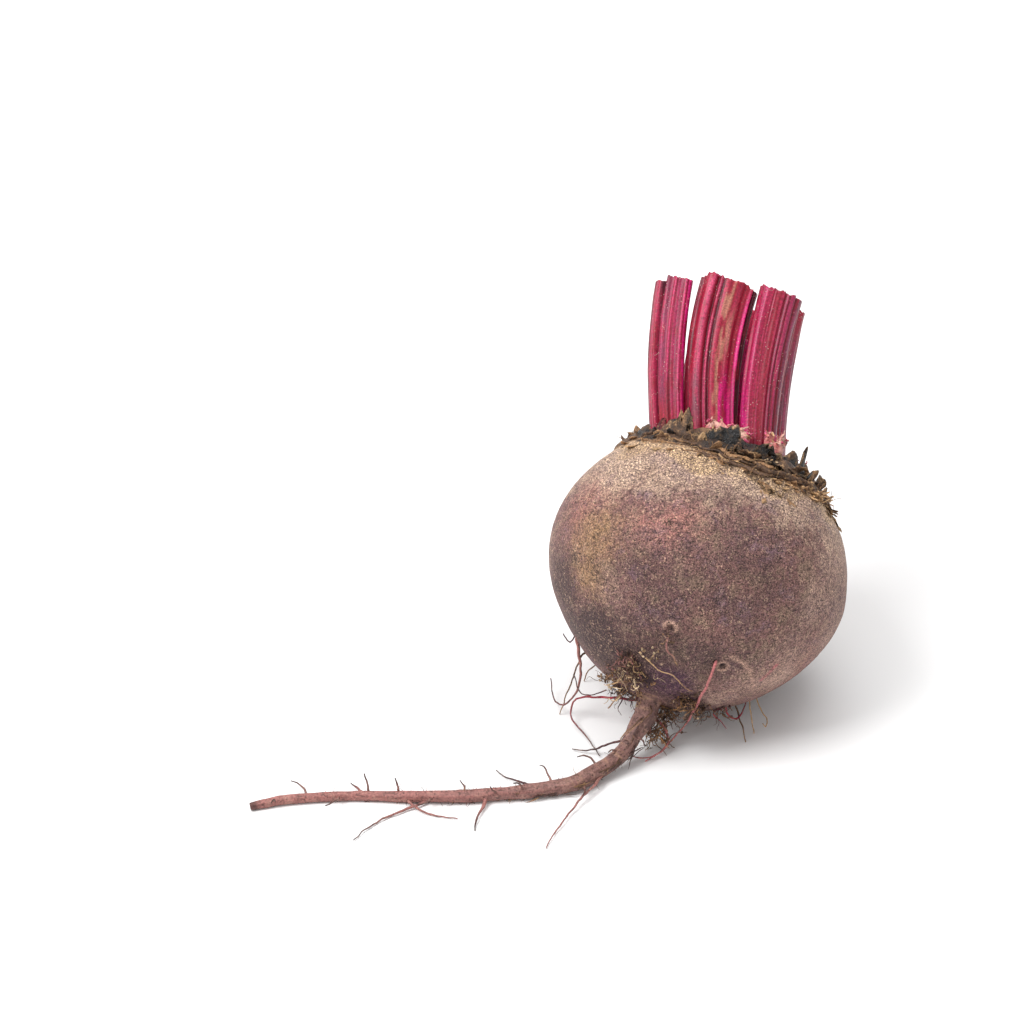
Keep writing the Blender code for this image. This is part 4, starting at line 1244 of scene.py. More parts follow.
@dataclass
class LeafStalk:
    """A leaf stalk cut short, in millimetres and degrees in the crown frame, as in the solids.

    It stands at foot, waist and tip, whose heights are 24, 44 and top. Its ribbed back faces the way that
    facing says.
    """

    form: BulbForm
    name: str
    foot: tuple[float, float]
    waist: tuple[float, float]
    tip: tuple[float, float]
    top: float
    facing: float
    foot_width: float
    width: float
    depth: float
    ribs: int
    bands: tuple[Band, ...] = ()
    extra_ribs: tuple[Rib, ...] = ()
    drops: tuple[Rib, ...] = ()
    base: Tint = Tint.CRIMSON
    wash: Point = (1.0, 1.0, 1.0)
    columns: int = 200
    rows: int = 90
    cap_rows: int = 12
    foot_height: float = 24.0
    waist_height: float = 44.0
    rib_height: float = 0.17
    seed: int = 1

    def middle(self, height: Array) -> Array:
        """The place at a height, on the parabola through the foot, the waist and the tip."""
        low, between, high = (np.array(place) for place in (self.foot, self.waist, self.tip))
        first = (between - low) / (self.waist_height - self.foot_height)
        second = ((high - between) / (self.top - self.waist_height) - first) / (self.top - self.foot_height)
        rise, past = (height - self.foot_height)[..., None], (height - self.waist_height)[..., None]
        return low + first * rise + second * rise * past

    def outline(self, angle: Array, height: Array) -> tuple[Array, Array]:
        """Across and out, in mm, of the crescent at an angle and a height.

        across = cos(angle) width / 2; the back is 0.62 depth sin(angle) + ribs, the inner face is
        0.38 depth sin(angle) (1 - 1.25 exp(-(cos(angle) / 0.4)^2)).
        """
        share = (height - self.foot_height) / (self.top - self.foot_height)
        width = self.foot_width + share * (self.width - self.foot_width)
        back = np.sin(angle) >= 0.0
        ribbing = self.rib_height * (2.0 * np.abs(np.sin(self.ribs * angle)) - 1.0)
        ribbing = ribbing * np.clip(2.5 * np.sin(angle), 0.0, 1.0)
        hollow = 1.25 * np.exp(-((np.cos(angle) / 0.4) ** 2))
        outer = 0.62 * self.depth * np.sin(angle) + ribbing
        inner = 0.38 * self.depth * np.sin(angle) * (1.0 - hollow)
        return np.cos(angle) * width / 2.0, np.where(back, outer, inner)

    def surface(self) -> Surface:
        """The stalk from the crown's skin to its ragged cut end, with its stripes."""
        grain = Grain(40 + self.seed)
        turn = math.radians(self.facing) - math.pi / 2.0
        ahead = np.array([math.cos(turn), math.sin(turn)])
        aside = np.array([-math.sin(turn), math.cos(turn)])
        angle, share = circle(self.columns)[None, :], even(self.rows)[:, None]

        def fibres(height: Array, width: float, length: float, salt: float) -> Array:
            """Noise in long fibres: cells of that width round the stalk and that length along it, in mm."""
            around = self.width / 2.0 + self.depth / 4.0
            place = np.stack(np.broadcast_arrays(
                around * np.cos(angle) / width, around * np.sin(angle) / width, height / length + salt), -1)
            return grain.at(place, 1.0)

        zero = np.zeros_like(share)
        across, out = self.outline(angle, zero + self.foot_height)
        plan = self.middle(zero + self.foot_height) + across[..., None] * ahead + out[..., None] * aside
        low = self.form.crown_height(plan[..., 0] * MM, plan[..., 1] * MM)[:1] / MM - 1.6
        ragged = 0.35 * fibres(zero, 0.9, 9.0, 3.0)[:1] + 0.22 * fibres(zero, 0.4, 9.0, 5.0)[:1]
        level = np.cos(angle) * self.width / 2.0 * ahead[0] + np.sin(angle) * self.depth / 2.0 * aside[0]
        seen = (level - level.min()) / np.ptp(level)
        for drop in self.drops:
            ragged = ragged - drop.height * eased(drop.width, drop.width * 0.8, np.abs(seen - drop.place))
        high = self.top + ragged
        height = low + (high - low) * share
        across, out = self.outline(angle, height)
        lift = 0.16 * fibres(height, 1.1, 26.0, 0.0) + 0.07 * fibres(height, 0.45, 15.0, 7.0)
        lift = lift + 0.10 * fibres(height, 2.0, 6.0, 11.0)
        for rib in self.extra_ribs:
            at = seen - rib.place + 0.02 * fibres(height, 9.0, 14.0, rib.place)
            lift = lift + rib.height * np.exp(-((at / rib.width) ** 2)) * (np.sin(angle) > 0)
        away = unit(np.stack([np.cos(angle) / self.width, np.sin(angle) / self.depth / 1.2], -1))
        across, out = across + lift * away[..., 0], out + lift * away[..., 1]
        plan = self.middle(height) + across[..., None] * ahead + out[..., None] * aside
        sides = np.concatenate([plan, height[..., None]], -1)
        shrink = np.linspace(1.0, 0.02, self.cap_rows + 1)[1:, None, None]
        rim, heart = sides[-1:], sides[-1:].mean(1, keepdims=True)
        heart[..., :2] += aside * 0.12 * self.depth
        cap = heart + (rim - heart) * shrink
        pith = grain.layered(cap * 0.001, 1.3 * MM, 2)
        cap[..., 2] += 0.3 * pith - 0.35 * np.sin(np.linspace(0.1, math.pi / 2, self.cap_rows))[:, None]
        points = np.concatenate([sides, cap])
        grit = fibres(height, 0.9, 2.6, 4.0) + 0.6 * fibres(height, 2.0, 7.0, 6.0)
        tone = self.painted(seen, share, angle, fibres(height, 1.6, 22.0, 2.0), grit)
        skin = 0.8 * eased(0.72, 1.0, shrink[..., 0] + 0 * pith)
        cut = tinted(Tint.PINK, (Tint.CREAM, eased(-0.2, 0.5, pith)), (Tint.CRIMSON, skin))
        tone = np.concatenate([tone, cut])
        flesh = np.concatenate([np.zeros(sides.shape[:2]), np.ones(cap.shape[:2])])
        return lofted(self.form.to_world(points * MM)[None], {"tone": tone[None], "flesh": flesh[None]})

    def painted(self, seen: Array, share: Array, angle: Array, wander: Array, grit: Array) -> Array:
        """Colour at each point: the base, then each stripe over it with soft, wavering edges.

        Args:
            seen: Share of the width from left to right, (1, columns).
            share: Share of the height, (rows, 1).
            angle: Angle round the outline, (1, columns).
            wander: Noise that moves the stripes' edges, (rows, columns).
            grit: Noise that breaks the stripes up, the brown ones most, (rows, columns).

        Returns:
            (rows, columns, 3).
        """
        across, level = seen + 0.018 * wander, share + 0.08 * wander
        edge, fade = 0.014, 0.12
        layers = []
        for band in self.bands:
            weight = eased(band.start - edge, band.start + edge, across)
            weight = weight * eased(band.end + edge, band.end - edge, across)
            weight = weight * eased(band.low - fade, band.low + fade, level)
            weight = weight * eased(band.high + fade, band.high - fade, level)
            broken = (-0.6, 0.1) if band.tint in (Tint.STREAK, Tint.DUSKY) else (-1.2, 0.0)
            layers.append((band.tint, weight * band.strength * eased(*broken, grit)))
        layers.append((Tint.ROSE, 0.55 * (eased(0.0, -0.35, np.sin(angle)) + 0.0 * share)))
        layers.append((Tint.SCARLET, 0.35 * eased(0.22, 0.0, share + 0.05 * wander)))
        return tinted(self.base, *layers) * np.array(self.wash)


def leaf_stalks(form: BulbForm) -> list[LeafStalk]:
    """The seven leaf stalks and two young ones, the three in front with the stripes that they show."""
    left = (
        Band(Tint.MAROON, 0.0, 0.05, 0.8), Band(Tint.ROSE, 0.05, 0.20), Band(Tint.MAROON, 0.19, 0.27),
        Band(Tint.MAUVE, 0.28, 0.50, 0.9, 0.2), Band(Tint.DUSKY, 0.30, 0.46, 0.7, 0.2, 0.9),
        Band(Tint.PINK, 0.52, 0.56, 0.8, 0.3), Band(Tint.MAROON, 0.565, 0.60, 0.6),
        Band(Tint.MAUVE, 0.60, 0.76, 0.9, 0.2), Band(Tint.PINK, 0.78, 0.83),
        Band(Tint.MAGENTA, 0.86, 1.0, 0.95), Band(Tint.SCARLET, 0.26, 0.72, 0.8, -0.2, 0.2),
        Band(Tint.MAROON, 0.18, 0.42, 0.75, 0.80, 1.2),
    )
    centre = (
        Band(Tint.MAROON, 0.0, 0.09, 0.7), Band(Tint.CRIMSON, 0.08, 0.30), Band(Tint.ROSE, 0.13, 0.25),
        Band(Tint.PINK, 0.18, 0.225, 0.8), Band(Tint.MAROON, 0.275, 0.31, 0.8),
        Band(Tint.PINK, 0.31, 0.345, 0.8), Band(Tint.MAROON, 0.35, 0.40, 0.9),
        Band(Tint.ROSE, 0.41, 0.50, 0.8), Band(Tint.STREAK, 0.45, 0.60, 1.0, 0.7),
        Band(Tint.STREAK, 0.50, 0.68, 1.0, 0.4, 0.8), Band(Tint.STREAK, 0.46, 0.58, 0.9, 0.12, 0.5),
        Band(Tint.CRIMSON, 0.68, 0.86), Band(Tint.MAGENTA, 0.58, 0.84, 1.0, -0.2, 0.36),
        # The maroon band from 0.90 to 1.0 is painted shade on the stalk's right flank, which faces away from
        # the lamps.
        Band(Tint.MAGENTA, 0.84, 0.89, 1.0, -0.2, 0.9), Band(Tint.MAROON, 0.90, 1.0),
        Band(Tint.DUSKY, 0.10, 0.26, 0.9, 0.1, 0.35),
    )
    right = (
        Band(Tint.MAGENTA, 0.0, 0.14, 1.0, -0.2, 0.55), Band(Tint.ROSE, 0.02, 0.3, 0.9, 0.4),
        Band(Tint.PINK, 0.13, 0.18, 0.8), Band(Tint.ROSE, 0.20, 0.30, 0.8),
        Band(Tint.PINK, 0.34, 0.36, 0.5), Band(Tint.ROSE, 0.50, 0.54, 0.7),
        Band(Tint.MAUVE, 0.60, 0.66, 0.8), Band(Tint.MAROON, 0.67, 0.69, 0.7),
        Band(Tint.MAUVE, 0.72, 0.80, 0.9), Band(Tint.MAROON, 0.82, 0.84, 0.7),
        Band(Tint.DUSKY, 0.86, 0.97, 0.9),
    )
    plain = (
        Band(Tint.ROSE, 0.10, 0.22, 0.8), Band(Tint.MAUVE, 0.34, 0.52, 0.8),
        Band(Tint.MAROON, 0.52, 0.58, 0.7), Band(Tint.MAGENTA, 0.66, 0.80, 0.6),
        Band(Tint.DUSKY, 0.84, 1.0, 0.7),
    )
    strip = (
        Band(Tint.DUSKY, 0.0, 1.0, 0.9, -0.2, 0.8), Band(Tint.MAUVE, 0.8, 0.9, 0.8),
        Band(Tint.CRIMSON, 0.0, 1.0, 1.0, 0.82, 1.2),
    )
    stalk = functools.partial(LeafStalk, form)
    back = {"bands": plain, "columns": 120, "rows": 60, "cap_rows": 10}
    young = {"base": Tint.MAGENTA, "columns": 48, "rows": 30, "cap_rows": 5}
    return [
        stalk("leaf_stalk_1", (-15.0, -3.0), (-22.4, -3.0), (-27.0, -3.0), 64.9, 218.0, 11.0, 11.6, 6.2, 5,
              left, (Rib(0.23, -1.1, 0.035), Rib(0.12, 0.5, 0.06), Rib(0.54, 0.35, 0.03),
                     Rib(0.81, 0.45, 0.03), Rib(0.90, 0.3, 0.04)),
              (Rib(0.12, 1.6, 0.17),), wash=(0.83, 0.4, 0.72), seed=1),
        stalk("leaf_stalk_2", (-4.2, -5.8), (-11.3, -6.0), (-14.4, -6.6), 67.8, 277.0, 13.2, 14.2, 6.6, 6,
              centre, (Rib(0.17, 0.75, 0.09), Rib(0.29, -0.5, 0.02), Rib(0.33, 0.4, 0.02),
                       Rib(0.38, -0.5, 0.025), Rib(0.55, 0.3, 0.10), Rib(0.88, 0.45, 0.02),
                       Rib(0.93, -0.4, 0.03)),
              (Rib(0.0, 1.2, 0.10), Rib(0.95, 0.5, 0.12)), wash=(0.93, 0.8, 0.86), seed=2),
        stalk("leaf_stalk_3", (6.3, -7.2), (0.9, -7.4), (-2.0, -7.0), 69.0, 290.0, 9.4, 11.3, 6.0, 6,
              right, (Rib(0.15, 0.5, 0.05), Rib(0.34, 0.2, 0.02), Rib(0.52, 0.2, 0.02), Rib(0.63, 0.3, 0.02),
                      Rib(0.68, -0.3, 0.015), Rib(0.76, 0.3, 0.02), Rib(0.83, -0.3, 0.015)), (),
              wash=(0.77, 0.46, 0.74), seed=3),
        stalk("leaf_stalk_4", (11.2, 6.2), (5.6, 6.2), (2.0, 6.2), 68.8, 0.0, 9.0, 9.0, 6.0, 5,
              strip, wash=(0.85, 0.8, 0.9), seed=4, columns=140, rows=70),
        stalk("leaf_stalk_5", (-0.5, 6.2), (-4.2, 6.2), (-7.4, 6.4), 66.0, 90.0, 9.5, 10.0, 5.8, 5,
              seed=5, **back),
        stalk("leaf_stalk_6", (-11.2, 8.0), (-13.9, 8.4), (-16.6, 8.9), 65.0, 130.0, 8.0, 8.0, 5.4, 4,
              seed=6, **back),
        stalk("leaf_stalk_7", (4.6, 13.6), (0.4, 14.0), (-2.8, 14.6), 66.5, 75.0, 8.6, 9.0, 5.8, 5,
              seed=7, **back),
        stalk("young_stalk_1", (-6.0, 0.5), (-9.6, 0.5), (-11.8, 0.6), 60.0, 250.0, 4.0, 4.0, 3.6, 3,
              seed=8, **young),
        stalk("young_stalk_2", (1.0, 1.2), (-2.3, 1.2), (-4.6, 1.2), 57.0, 290.0, 3.6, 3.6, 3.2, 3,
              seed=9, **young),
    ]


# Torn leaf bases, the dry collar and what clings to the root.


def curls(starts: Array, ways: Array, lengths: Array, curl: float, droop: float, rows: int,
          draw: np.random.Generator) -> Array:
    """Wandering hairs: each step goes along way + curl (random walk + slow wave) + droop share downwards.

    Args:
        starts: (hairs, 3) where they start.
        ways: (hairs, 3) the way they set out.
        lengths: (hairs,) in metres.
        curl: How far the walk and the wave, of 0.4 to 1.7 turns a hair, bend them.
        droop: How far their ends turn down.
        rows: Points along each.
        draw: The random generator.

    Returns:
        (hairs, rows, 3).
    """
    share = even(rows)[None, :, None]
    walk = 0.5 * np.cumsum(draw.normal(0.0, 1.0, (len(starts), rows, 3)), axis=1) / math.sqrt(rows)
    turns, start = draw.uniform(0.4, 1.7, (2, len(starts), 1, 3)) * 2.0 * math.pi
    walk = walk + np.sin(turns * share + start) - np.sin(start)
    down = np.array([0.0, 0.0, -1.0])
    steps = unit(unit(ways)[:, None] + curl * walk + droop * share * down)
    steps = steps * (lengths / (rows - 1))[:, None, None]
    steps[:, 0] = 0.0
    return starts[:, None] + np.cumsum(steps, axis=1)


def crumbs(centres: Array, radii: Array, tones: Array, draw: np.random.Generator) -> Surface:
    """Small lumps: spheres of 4 rings of 6 points, each point's radius times a random share.

    Args:
        centres: (crumbs, 3).
        radii: (crumbs,).
        tones: (crumbs, 3).
        draw: The random generator.

    Returns:
        The lumps as one surface.
    """
    lift = np.radians([-58.0, -20.0, 20.0, 58.0])[:, None]
    turn = np.radians(np.arange(6) * 60.0)[None, :]
    ball = np.stack([np.cos(lift) * np.cos(turn), np.cos(lift) * np.sin(turn), np.sin(lift) + 0 * turn], -1)
    shares = draw.uniform(0.35, 1.6, (len(centres), 4, 6, 1))
    points = centres[:, None, None] + ball[None] * shares * radii[:, None, None, None]
    tone = np.broadcast_to(tones[:, None, None], points.shape)
    return lofted(points, {"tone": tone})


def picked(tints: tuple[Tint, ...], count: int, draw: np.random.Generator) -> Array:
    """Colours picked at random from the tints, each a little lighter or darker, (count, 3)."""
    palette = np.array([tint.value for tint in tints])
    chosen = palette[draw.integers(0, len(palette), count)]
    return chosen * draw.uniform(0.75, 1.25, (count, 1))


@dataclass
class TornStub:
    """What is left of a leaf that was torn off: a thin crescent with a crumpled, frayed crest, in mm."""

    form: BulbForm
    name: str
    place: tuple[float, float]
    top: float
    facing: float
    width: float
    depth: float
    shreds: int
    bow: float = 0.5
    tear_waves: tuple[tuple[float, float], ...] = ((0.9, 2.3), (0.6, 5.1))
    rows: int = 40
    columns: int = 96
    seed: int = 1

    def surface(self) -> Surface:
        """The crescent, across = width / 2 cos and out = depth / 2 sin + bow depth sin^2, and its shreds."""
        grain, draw = Grain(60 + self.seed), np.random.default_rng(self.seed)
        turn = math.radians(self.facing) - math.pi / 2.0
        side = np.array([math.cos(turn), math.sin(turn), 0.0])
        way = np.array([-math.sin(turn), math.cos(turn), 0.0])
        angle, share = circle(self.columns)[None, :], even(self.rows)[:, None]
        across = self.width / 2.0 * np.cos(angle)
        out = self.depth / 2.0 * np.sin(angle) + self.bow * self.depth * np.sin(angle) ** 2
        tear = sum(size * np.sin(across * turns + self.place[0]) for size, turns in self.tear_waves)
        base = np.array([*self.place, 0.0])
        flat = base + across[..., None] * side + out[..., None] * way
        low = self.form.crown_height(flat[..., 0] * MM, flat[..., 1] * MM) / MM - 1.5
        height = low + share * (self.top + tear - low)
        points = flat + np.zeros((self.rows, 1, 1))
        points[..., 2] = height
        shake = grain.shake(points * MM, 1.8 * MM, 3)
        points = points + shake * (0.3 + 0.4 * share[..., None])
        tone = tinted(
            Tint.BLUSH,
            (Tint.CREAM, eased(-0.1, 0.4, shake[..., 0]) * eased(0.3, 0.8, share)),
            (Tint.MAGENTA, 0.8 * eased(0.1, 0.45, shake[..., 1]) * eased(0.9, 0.4, share)),
            (Tint.UMBER, 0.7 * eased(0.15, 0.5, shake[..., 2])),
        )
        body = lofted(self.form.to_world(points * MM)[None], {"tone": tone[None]})
        spot = draw.integers(0, self.columns, self.shreds)
        starts = points[-3, spot] * MM
        ways = draw.normal(0.0, 0.7, (self.shreds, 3)) + [0.0, 0.0, 0.9]
        lengths = draw.uniform(0.8, 2.4, self.shreds) * MM
        paths = self.form.to_world(curls(starts, ways, lengths, 0.9, 0.0, 9, draw))
        taper = np.sqrt(np.linspace(1.0, 0.05, 9))[None]
        width = draw.uniform(0.25, 0.6, (self.shreds, 1)) * MM * taper
        tones = picked((Tint.CREAM, Tint.BLUSH, Tint.PINK, Tint.STRAW), self.shreds, draw)
        shreds = swept(paths, width, np.repeat(tones[:, None], 9, 1), width * 0.4, columns=10)
        return Surface.joined([body, shreds])


@dataclass(frozen=True)
class ScaleGroup:
    """Dry scales round the crown: how many, where (degrees, mm from the axis), and their looks.

    lean is the angle from the skin at which they start, curl how far they turn up along their length.
    """

    count: int
    span: tuple[float, float]
    radius: tuple[float, float]
    length: tuple[float, float]
    width: tuple[float, float]
    lean: tuple[float, float]
    curl: tuple[float, float]
    tints: tuple[Tint, ...]


@dataclass(frozen=True)
class LeafPlate:
    """A leathery leaf base that stands on the crown: direction and lean in degrees, the rest in mm.

    skew moves its peak to one side; the tints are those of its foot and its edge; 1 is the most pointed.
    """

    direction: float
    radius: float
    width: float
    height: float
    lean: float
    skew: float
    tints: tuple[Tint, Tint]
    pointed: float = 0.4


@dataclass
class DryCollar:
    """The dry ring of old leaf bases: a lumpy skirt with pointed flaps, scales, fibres and crumbs on it."""

    form: BulbForm
    middle: tuple[float, float] = (-3.6 * MM, 1.9 * MM)
    inner: tuple[float, float] = (21.5 * MM, 20.0 * MM)
    outer: float = 24.9 * MM
    outer_waves: tuple[Point, ...] = ((1, 1.9, 2.75), (2, 1.3, 0.35), (7, 0.45, 1.0), (13, 0.35, 2.2))
    lumps: tuple[Point, ...] = ((9, 0.45, 0.4), (17, 0.3, 2.0))
    skirt_width: float = 2.6 * MM
    thickness: float = 1.5 * MM
    edge: float = 0.7 * MM
    lip: float = 2.2 * MM
    lip_thickness: float = 0.9 * MM
    gap: float = 0.2 * MM
    flaps: tuple[Point, ...] = (
        (231.0, 4.9, 11.0), (207.0, 1.6, 9.0), (181.0, 1.2, 8.0), (256.0, 1.6, 9.0), (318.0, 3.2, 8.0),
        (333.0, 1.4, 6.0), (349.0, 2.2, 7.0), (20.0, 2.4, 9.0), (47.0, 3.6, 10.0), (78.0, 2.2, 9.0),
        (108.0, 3.8, 10.0), (139.0, 2.4, 9.0),
    )
    around: int = 640
    per_side: int = 5
    plates: tuple[LeafPlate, ...] = (
        LeafPlate(230.0, 21.2, 13.0, 8.6, 8.0, 0.1, (Tint.UMBER, Tint.UMBER), 1.0),
        LeafPlate(222.0, 22.6, 9.0, 4.4, 40.0, 0.3, (Tint.UMBER, Tint.BARK), 0.7),
        LeafPlate(213.0, 22.0, 5.0, 4.6, 22.0, -0.2, (Tint.UMBER, Tint.BARK), 0.8),
        LeafPlate(204.0, 20.6, 3.4, 5.6, 2.0, 0.1, (Tint.SCARLET, Tint.CRIMSON), 0.9),
        LeafPlate(244.0, 22.0, 7.0, 4.6, 20.0, 0.3, (Tint.UMBER, Tint.STRAW), 0.5),
        LeafPlate(240.0, 23.6, 9.0, 3.0, 62.0, -0.2, (Tint.BARK, Tint.STRAW)),
        LeafPlate(261.0, 21.0, 13.0, 6.4, 10.0, -0.2, (Tint.CHARCOAL, Tint.CHARCOAL), 0.1),
        LeafPlate(268.0, 22.4, 9.0, 4.6, 44.0, 0.3, (Tint.CHARCOAL, Tint.UMBER), 0.2),
        LeafPlate(277.0, 22.6, 8.0, 5.4, 30.0, 0.4, (Tint.UMBER, Tint.BARK), 0.7),
        LeafPlate(288.0, 21.4, 9.5, 5.0, 18.0, 0.1, (Tint.CHARCOAL, Tint.CHARCOAL), 0.2),
        LeafPlate(296.0, 22.9, 9.0, 5.2, 50.0, -0.3, (Tint.CHARCOAL, Tint.CHARCOAL), 0.2),
        LeafPlate(306.0, 22.9, 7.5, 5.0, 44.0, 0.3, (Tint.CHARCOAL, Tint.UMBER), 0.4),
        LeafPlate(317.0, 21.4, 5.4, 7.4, 2.0, 0.4, (Tint.CHARCOAL, Tint.UMBER), 0.8),
        LeafPlate(329.0, 22.4, 5.0, 4.2, 24.0, -0.3, (Tint.UMBER, Tint.BARK), 0.7),
        LeafPlate(341.0, 22.6, 4.6, 4.4, 26.0, 0.3, (Tint.UMBER, Tint.BARK), 0.9),
        LeafPlate(195.0, 22.6, 5.0, 3.6, 26.0, 0.3, (Tint.UMBER, Tint.BARK), 0.8),
        LeafPlate(182.0, 22.4, 5.5, 3.4, 18.0, -0.2, (Tint.UMBER, Tint.CHARCOAL)),
    )
    back_plates: int = 22
    back_span: tuple[float, float] = (352.0, 532.0)
    groups: tuple[ScaleGroup, ...] = (
        ScaleGroup(46, (0.0, 360.0), (21.0, 24.5), (1.6, 4.0), (0.8, 2.2), (20.0, 80.0), (-20.0, 70.0),
                   (Tint.UMBER, Tint.CHARCOAL, Tint.BARK, Tint.UMBER)),
        ScaleGroup(40, (0.0, 360.0), (23.5, 26.8), (1.2, 3.2), (0.5, 1.5), (-4.0, 25.0), (-10.0, 50.0),
                   (Tint.BARK, Tint.UMBER, Tint.STRAW)),
        ScaleGroup(60, (292.0, 344.0), (24.5, 29.0), (1.0, 3.0), (0.3, 0.9), (-4.0, 34.0), (-10.0, 60.0),
                   (Tint.BARK, Tint.STRAW, Tint.UMBER, Tint.BARK)),
    )
    scars: int = 15
    bark: int = 54
    bark_span: tuple[float, float] = (286.0, 344.0)
    strand_count: int = 52
    front_strands: int = 30
    rolls: int = 8
    fibre_count: int = 260
    crumb_count: int = 400
    seed: int = 7

    def section(self, angle: Array) -> Array:
        """The ring's outline at each angle, (angles, 8, 3) in the crown frame, as in the solids."""
        inner = np.stack([self.middle[0] + self.inner[0] * np.cos(angle),
                          self.middle[1] + self.inner[1] * np.sin(angle)], -1)
        wave = sum(size * np.cos(waves * angle + turn) for waves, size, turn in self.outer_waves)
        reach = self.outer + MM * wave
        direction, near = np.arctan2(inner[:, 1], inner[:, 0]), np.hypot(inner[:, 0], inner[:, 1])
        far = np.maximum(reach, near + self.skirt_width)
        lump = MM * sum(size * np.sin(waves * angle + turn) for waves, size, turn in self.lumps)
        lip = self.lip + lump
        for place, peak, half_width in self.flaps:
            away = np.abs((np.degrees(angle) - place + 180.0) % 360.0 - 180.0)
            flap = 0.3 * peak * MM * (1.0 + np.cos(math.pi * np.minimum(1.0, away / half_width)))
            lip = np.maximum(lip, self.lip + lump + flap)
        shoulder = near + self.lip_thickness
        between = shoulder + 0.45 * (far - shoulder)
        zero = np.zeros_like(near)
        radii = np.stack([near, near, near + 0.75 * self.lip_thickness, shoulder + 0.5 * MM,
                          between, far, far, between], -1)
        lifts = np.stack([zero, lip, lip - 0.15 * MM, self.thickness + lump, self.thickness - lump,
                          zero + self.edge, zero, zero], -1)
        x, y = radii * np.cos(direction)[:, None], radii * np.sin(direction)[:, None]
        return np.stack([x, y, self.form.crown_height(x, y) + self.gap + lifts], -1)

    def skirt(self) -> Surface:
        """The outline carried round, each side cut in shares, shaken by noise of three sizes."""
        angle = circle(self.around)
        corners = self.section(angle)
        shares = (np.arange(self.per_side) / self.per_side)[None, None, :, None]
        following = np.roll(corners, -1, axis=1)
        points = corners[:, :, None] * (1.0 - shares) + following[:, :, None] * shares
        points = points.reshape(self.around, -1, 3)
        shake = Grain(22).shake(points, 3.0 * MM, 4)
        points = points + 0.75 * MM * shake
        degrees = np.degrees(angle)[:, None] + 0.0 * points[..., 0]
        lift = (points[..., 2] - self.form.crown_height(points[..., 0], points[..., 1])) / MM
        front = eased(252.0, 262.0, degrees) * eased(303.0, 296.0, degrees)
        tone = tinted(
            Tint.UMBER,
            (Tint.BARK, eased(0.0, 0.5, shake[..., 0])),
            (Tint.CHARCOAL, np.maximum(0.85 * front, eased(-0.1, 0.35, shake[..., 1]))),
            (Tint.STRAW, 0.8 * eased(0.9, 0.2, lift) * eased(-0.3, 0.2, shake[..., 2])),
        )
        return lofted(self.form.to_world(points)[None], {"tone": tone[None]}, ring=True)

    def leathery(self, listed: list[LeafPlate], rows: int, columns: int) -> Surface:
        """Plates: bowed round the crown, crumpled, their top edge arched and torn.

        height(u) = height (1 - |u - skew (1 - u^2)|^a)^b (1 + tear), where u runs from -1 to 1 across it,
        a is 2.4 - 1.3 pointed and b is 0.6 + 0.5 pointed. Folds run up it.

        Args:
            listed: The plates.
            rows: Points up each.
            columns: Points round each.

        Returns:
            The plates as one surface.
        """
        place, radius, width, height, lean, skew, pointed = (
            np.array([getattr(plate, key) for plate in listed])[:, None, None]
            for key in ("direction", "radius", "width", "height", "lean", "skew", "pointed")
        )
        angle = circle(columns)[None, None]
        u, v = np.cos(angle), even(rows)[None, :, None]
        grain = Grain(31)
        key = np.stack([u * width / 2.0 + 0 * v, place + 0 * v * u, 0 * v * u + 0 * place], -1)
        tear = 0.55 * grain.layered(key, 2.2, 2) * (1.1 - pointed) + 0.45 * grain.layered(key + 0.5, 0.7, 2)
        arch = np.abs(u - skew * (1.0 - u**2)) ** (2.4 - 1.3 * pointed)
        arch = np.maximum(0.0, 1.0 - arch) ** (0.6 + 0.5 * pointed) * (1.0 + tear)
        fold = 1.0 - 2.4 * np.abs(grain.layered(key * [1.0, 1.0, 0.0] + 5.0, 1.7, 2))
        rise = v * height * arch
        tilt = np.radians(lean + 14.0 * grain.layered(key + 2.0, 3.0, 1))
        turn = np.radians(place) + u * width / (2.0 * radius)
        out = radius + np.sin(tilt) * rise + (0.25 + 0.75 * v) * 0.9 * (fold - 0.5)
        out = out + np.sin(angle) * (0.34 - 0.22 * v)
        centre = np.array(self.middle) * 0.35 / MM
        x, y = centre[0] + out * np.cos(turn), centre[1] + out * np.sin(turn)
        foot = self.form.crown_height(x * MM, y * MM) / MM
        points = np.stack([x, y, foot - 0.4 + np.cos(tilt) * rise], -1) * MM
        shake = grain.shake(points, 2.4 * MM, 4)
        points = points + shake * (0.25 + 0.75 * v[..., None]) * 0.65 * MM
        low, high = (np.array([plate.tints[end].value for plate in listed])[:, None, None] for end in (0, 1))
        flat = eased(40.0, 60.0, lean)
        tone = tinted(
            low,
            (high, eased(0.55, 1.0, v + 0.5 * shake[..., 0])),
            (Tint.CHARCOAL, (0.8 - 0.6 * flat) * eased(0.15, 0.5, shake[..., 1])),
            (Tint.BARK, 0.8 * eased(0.1, 0.45, shake[..., 2])),
            (Tint.STRAW, 0.8 * eased(0.88, 0.97, v) * eased(-0.25, 0.15, shake[..., 0])),
            (Tint.CHARCOAL, (0.6 - 0.3 * flat) * eased(0.55, 0.2, fold) + 0.0 * v),
        )
        return lofted(self.form.to_world(points), {"tone": tone})

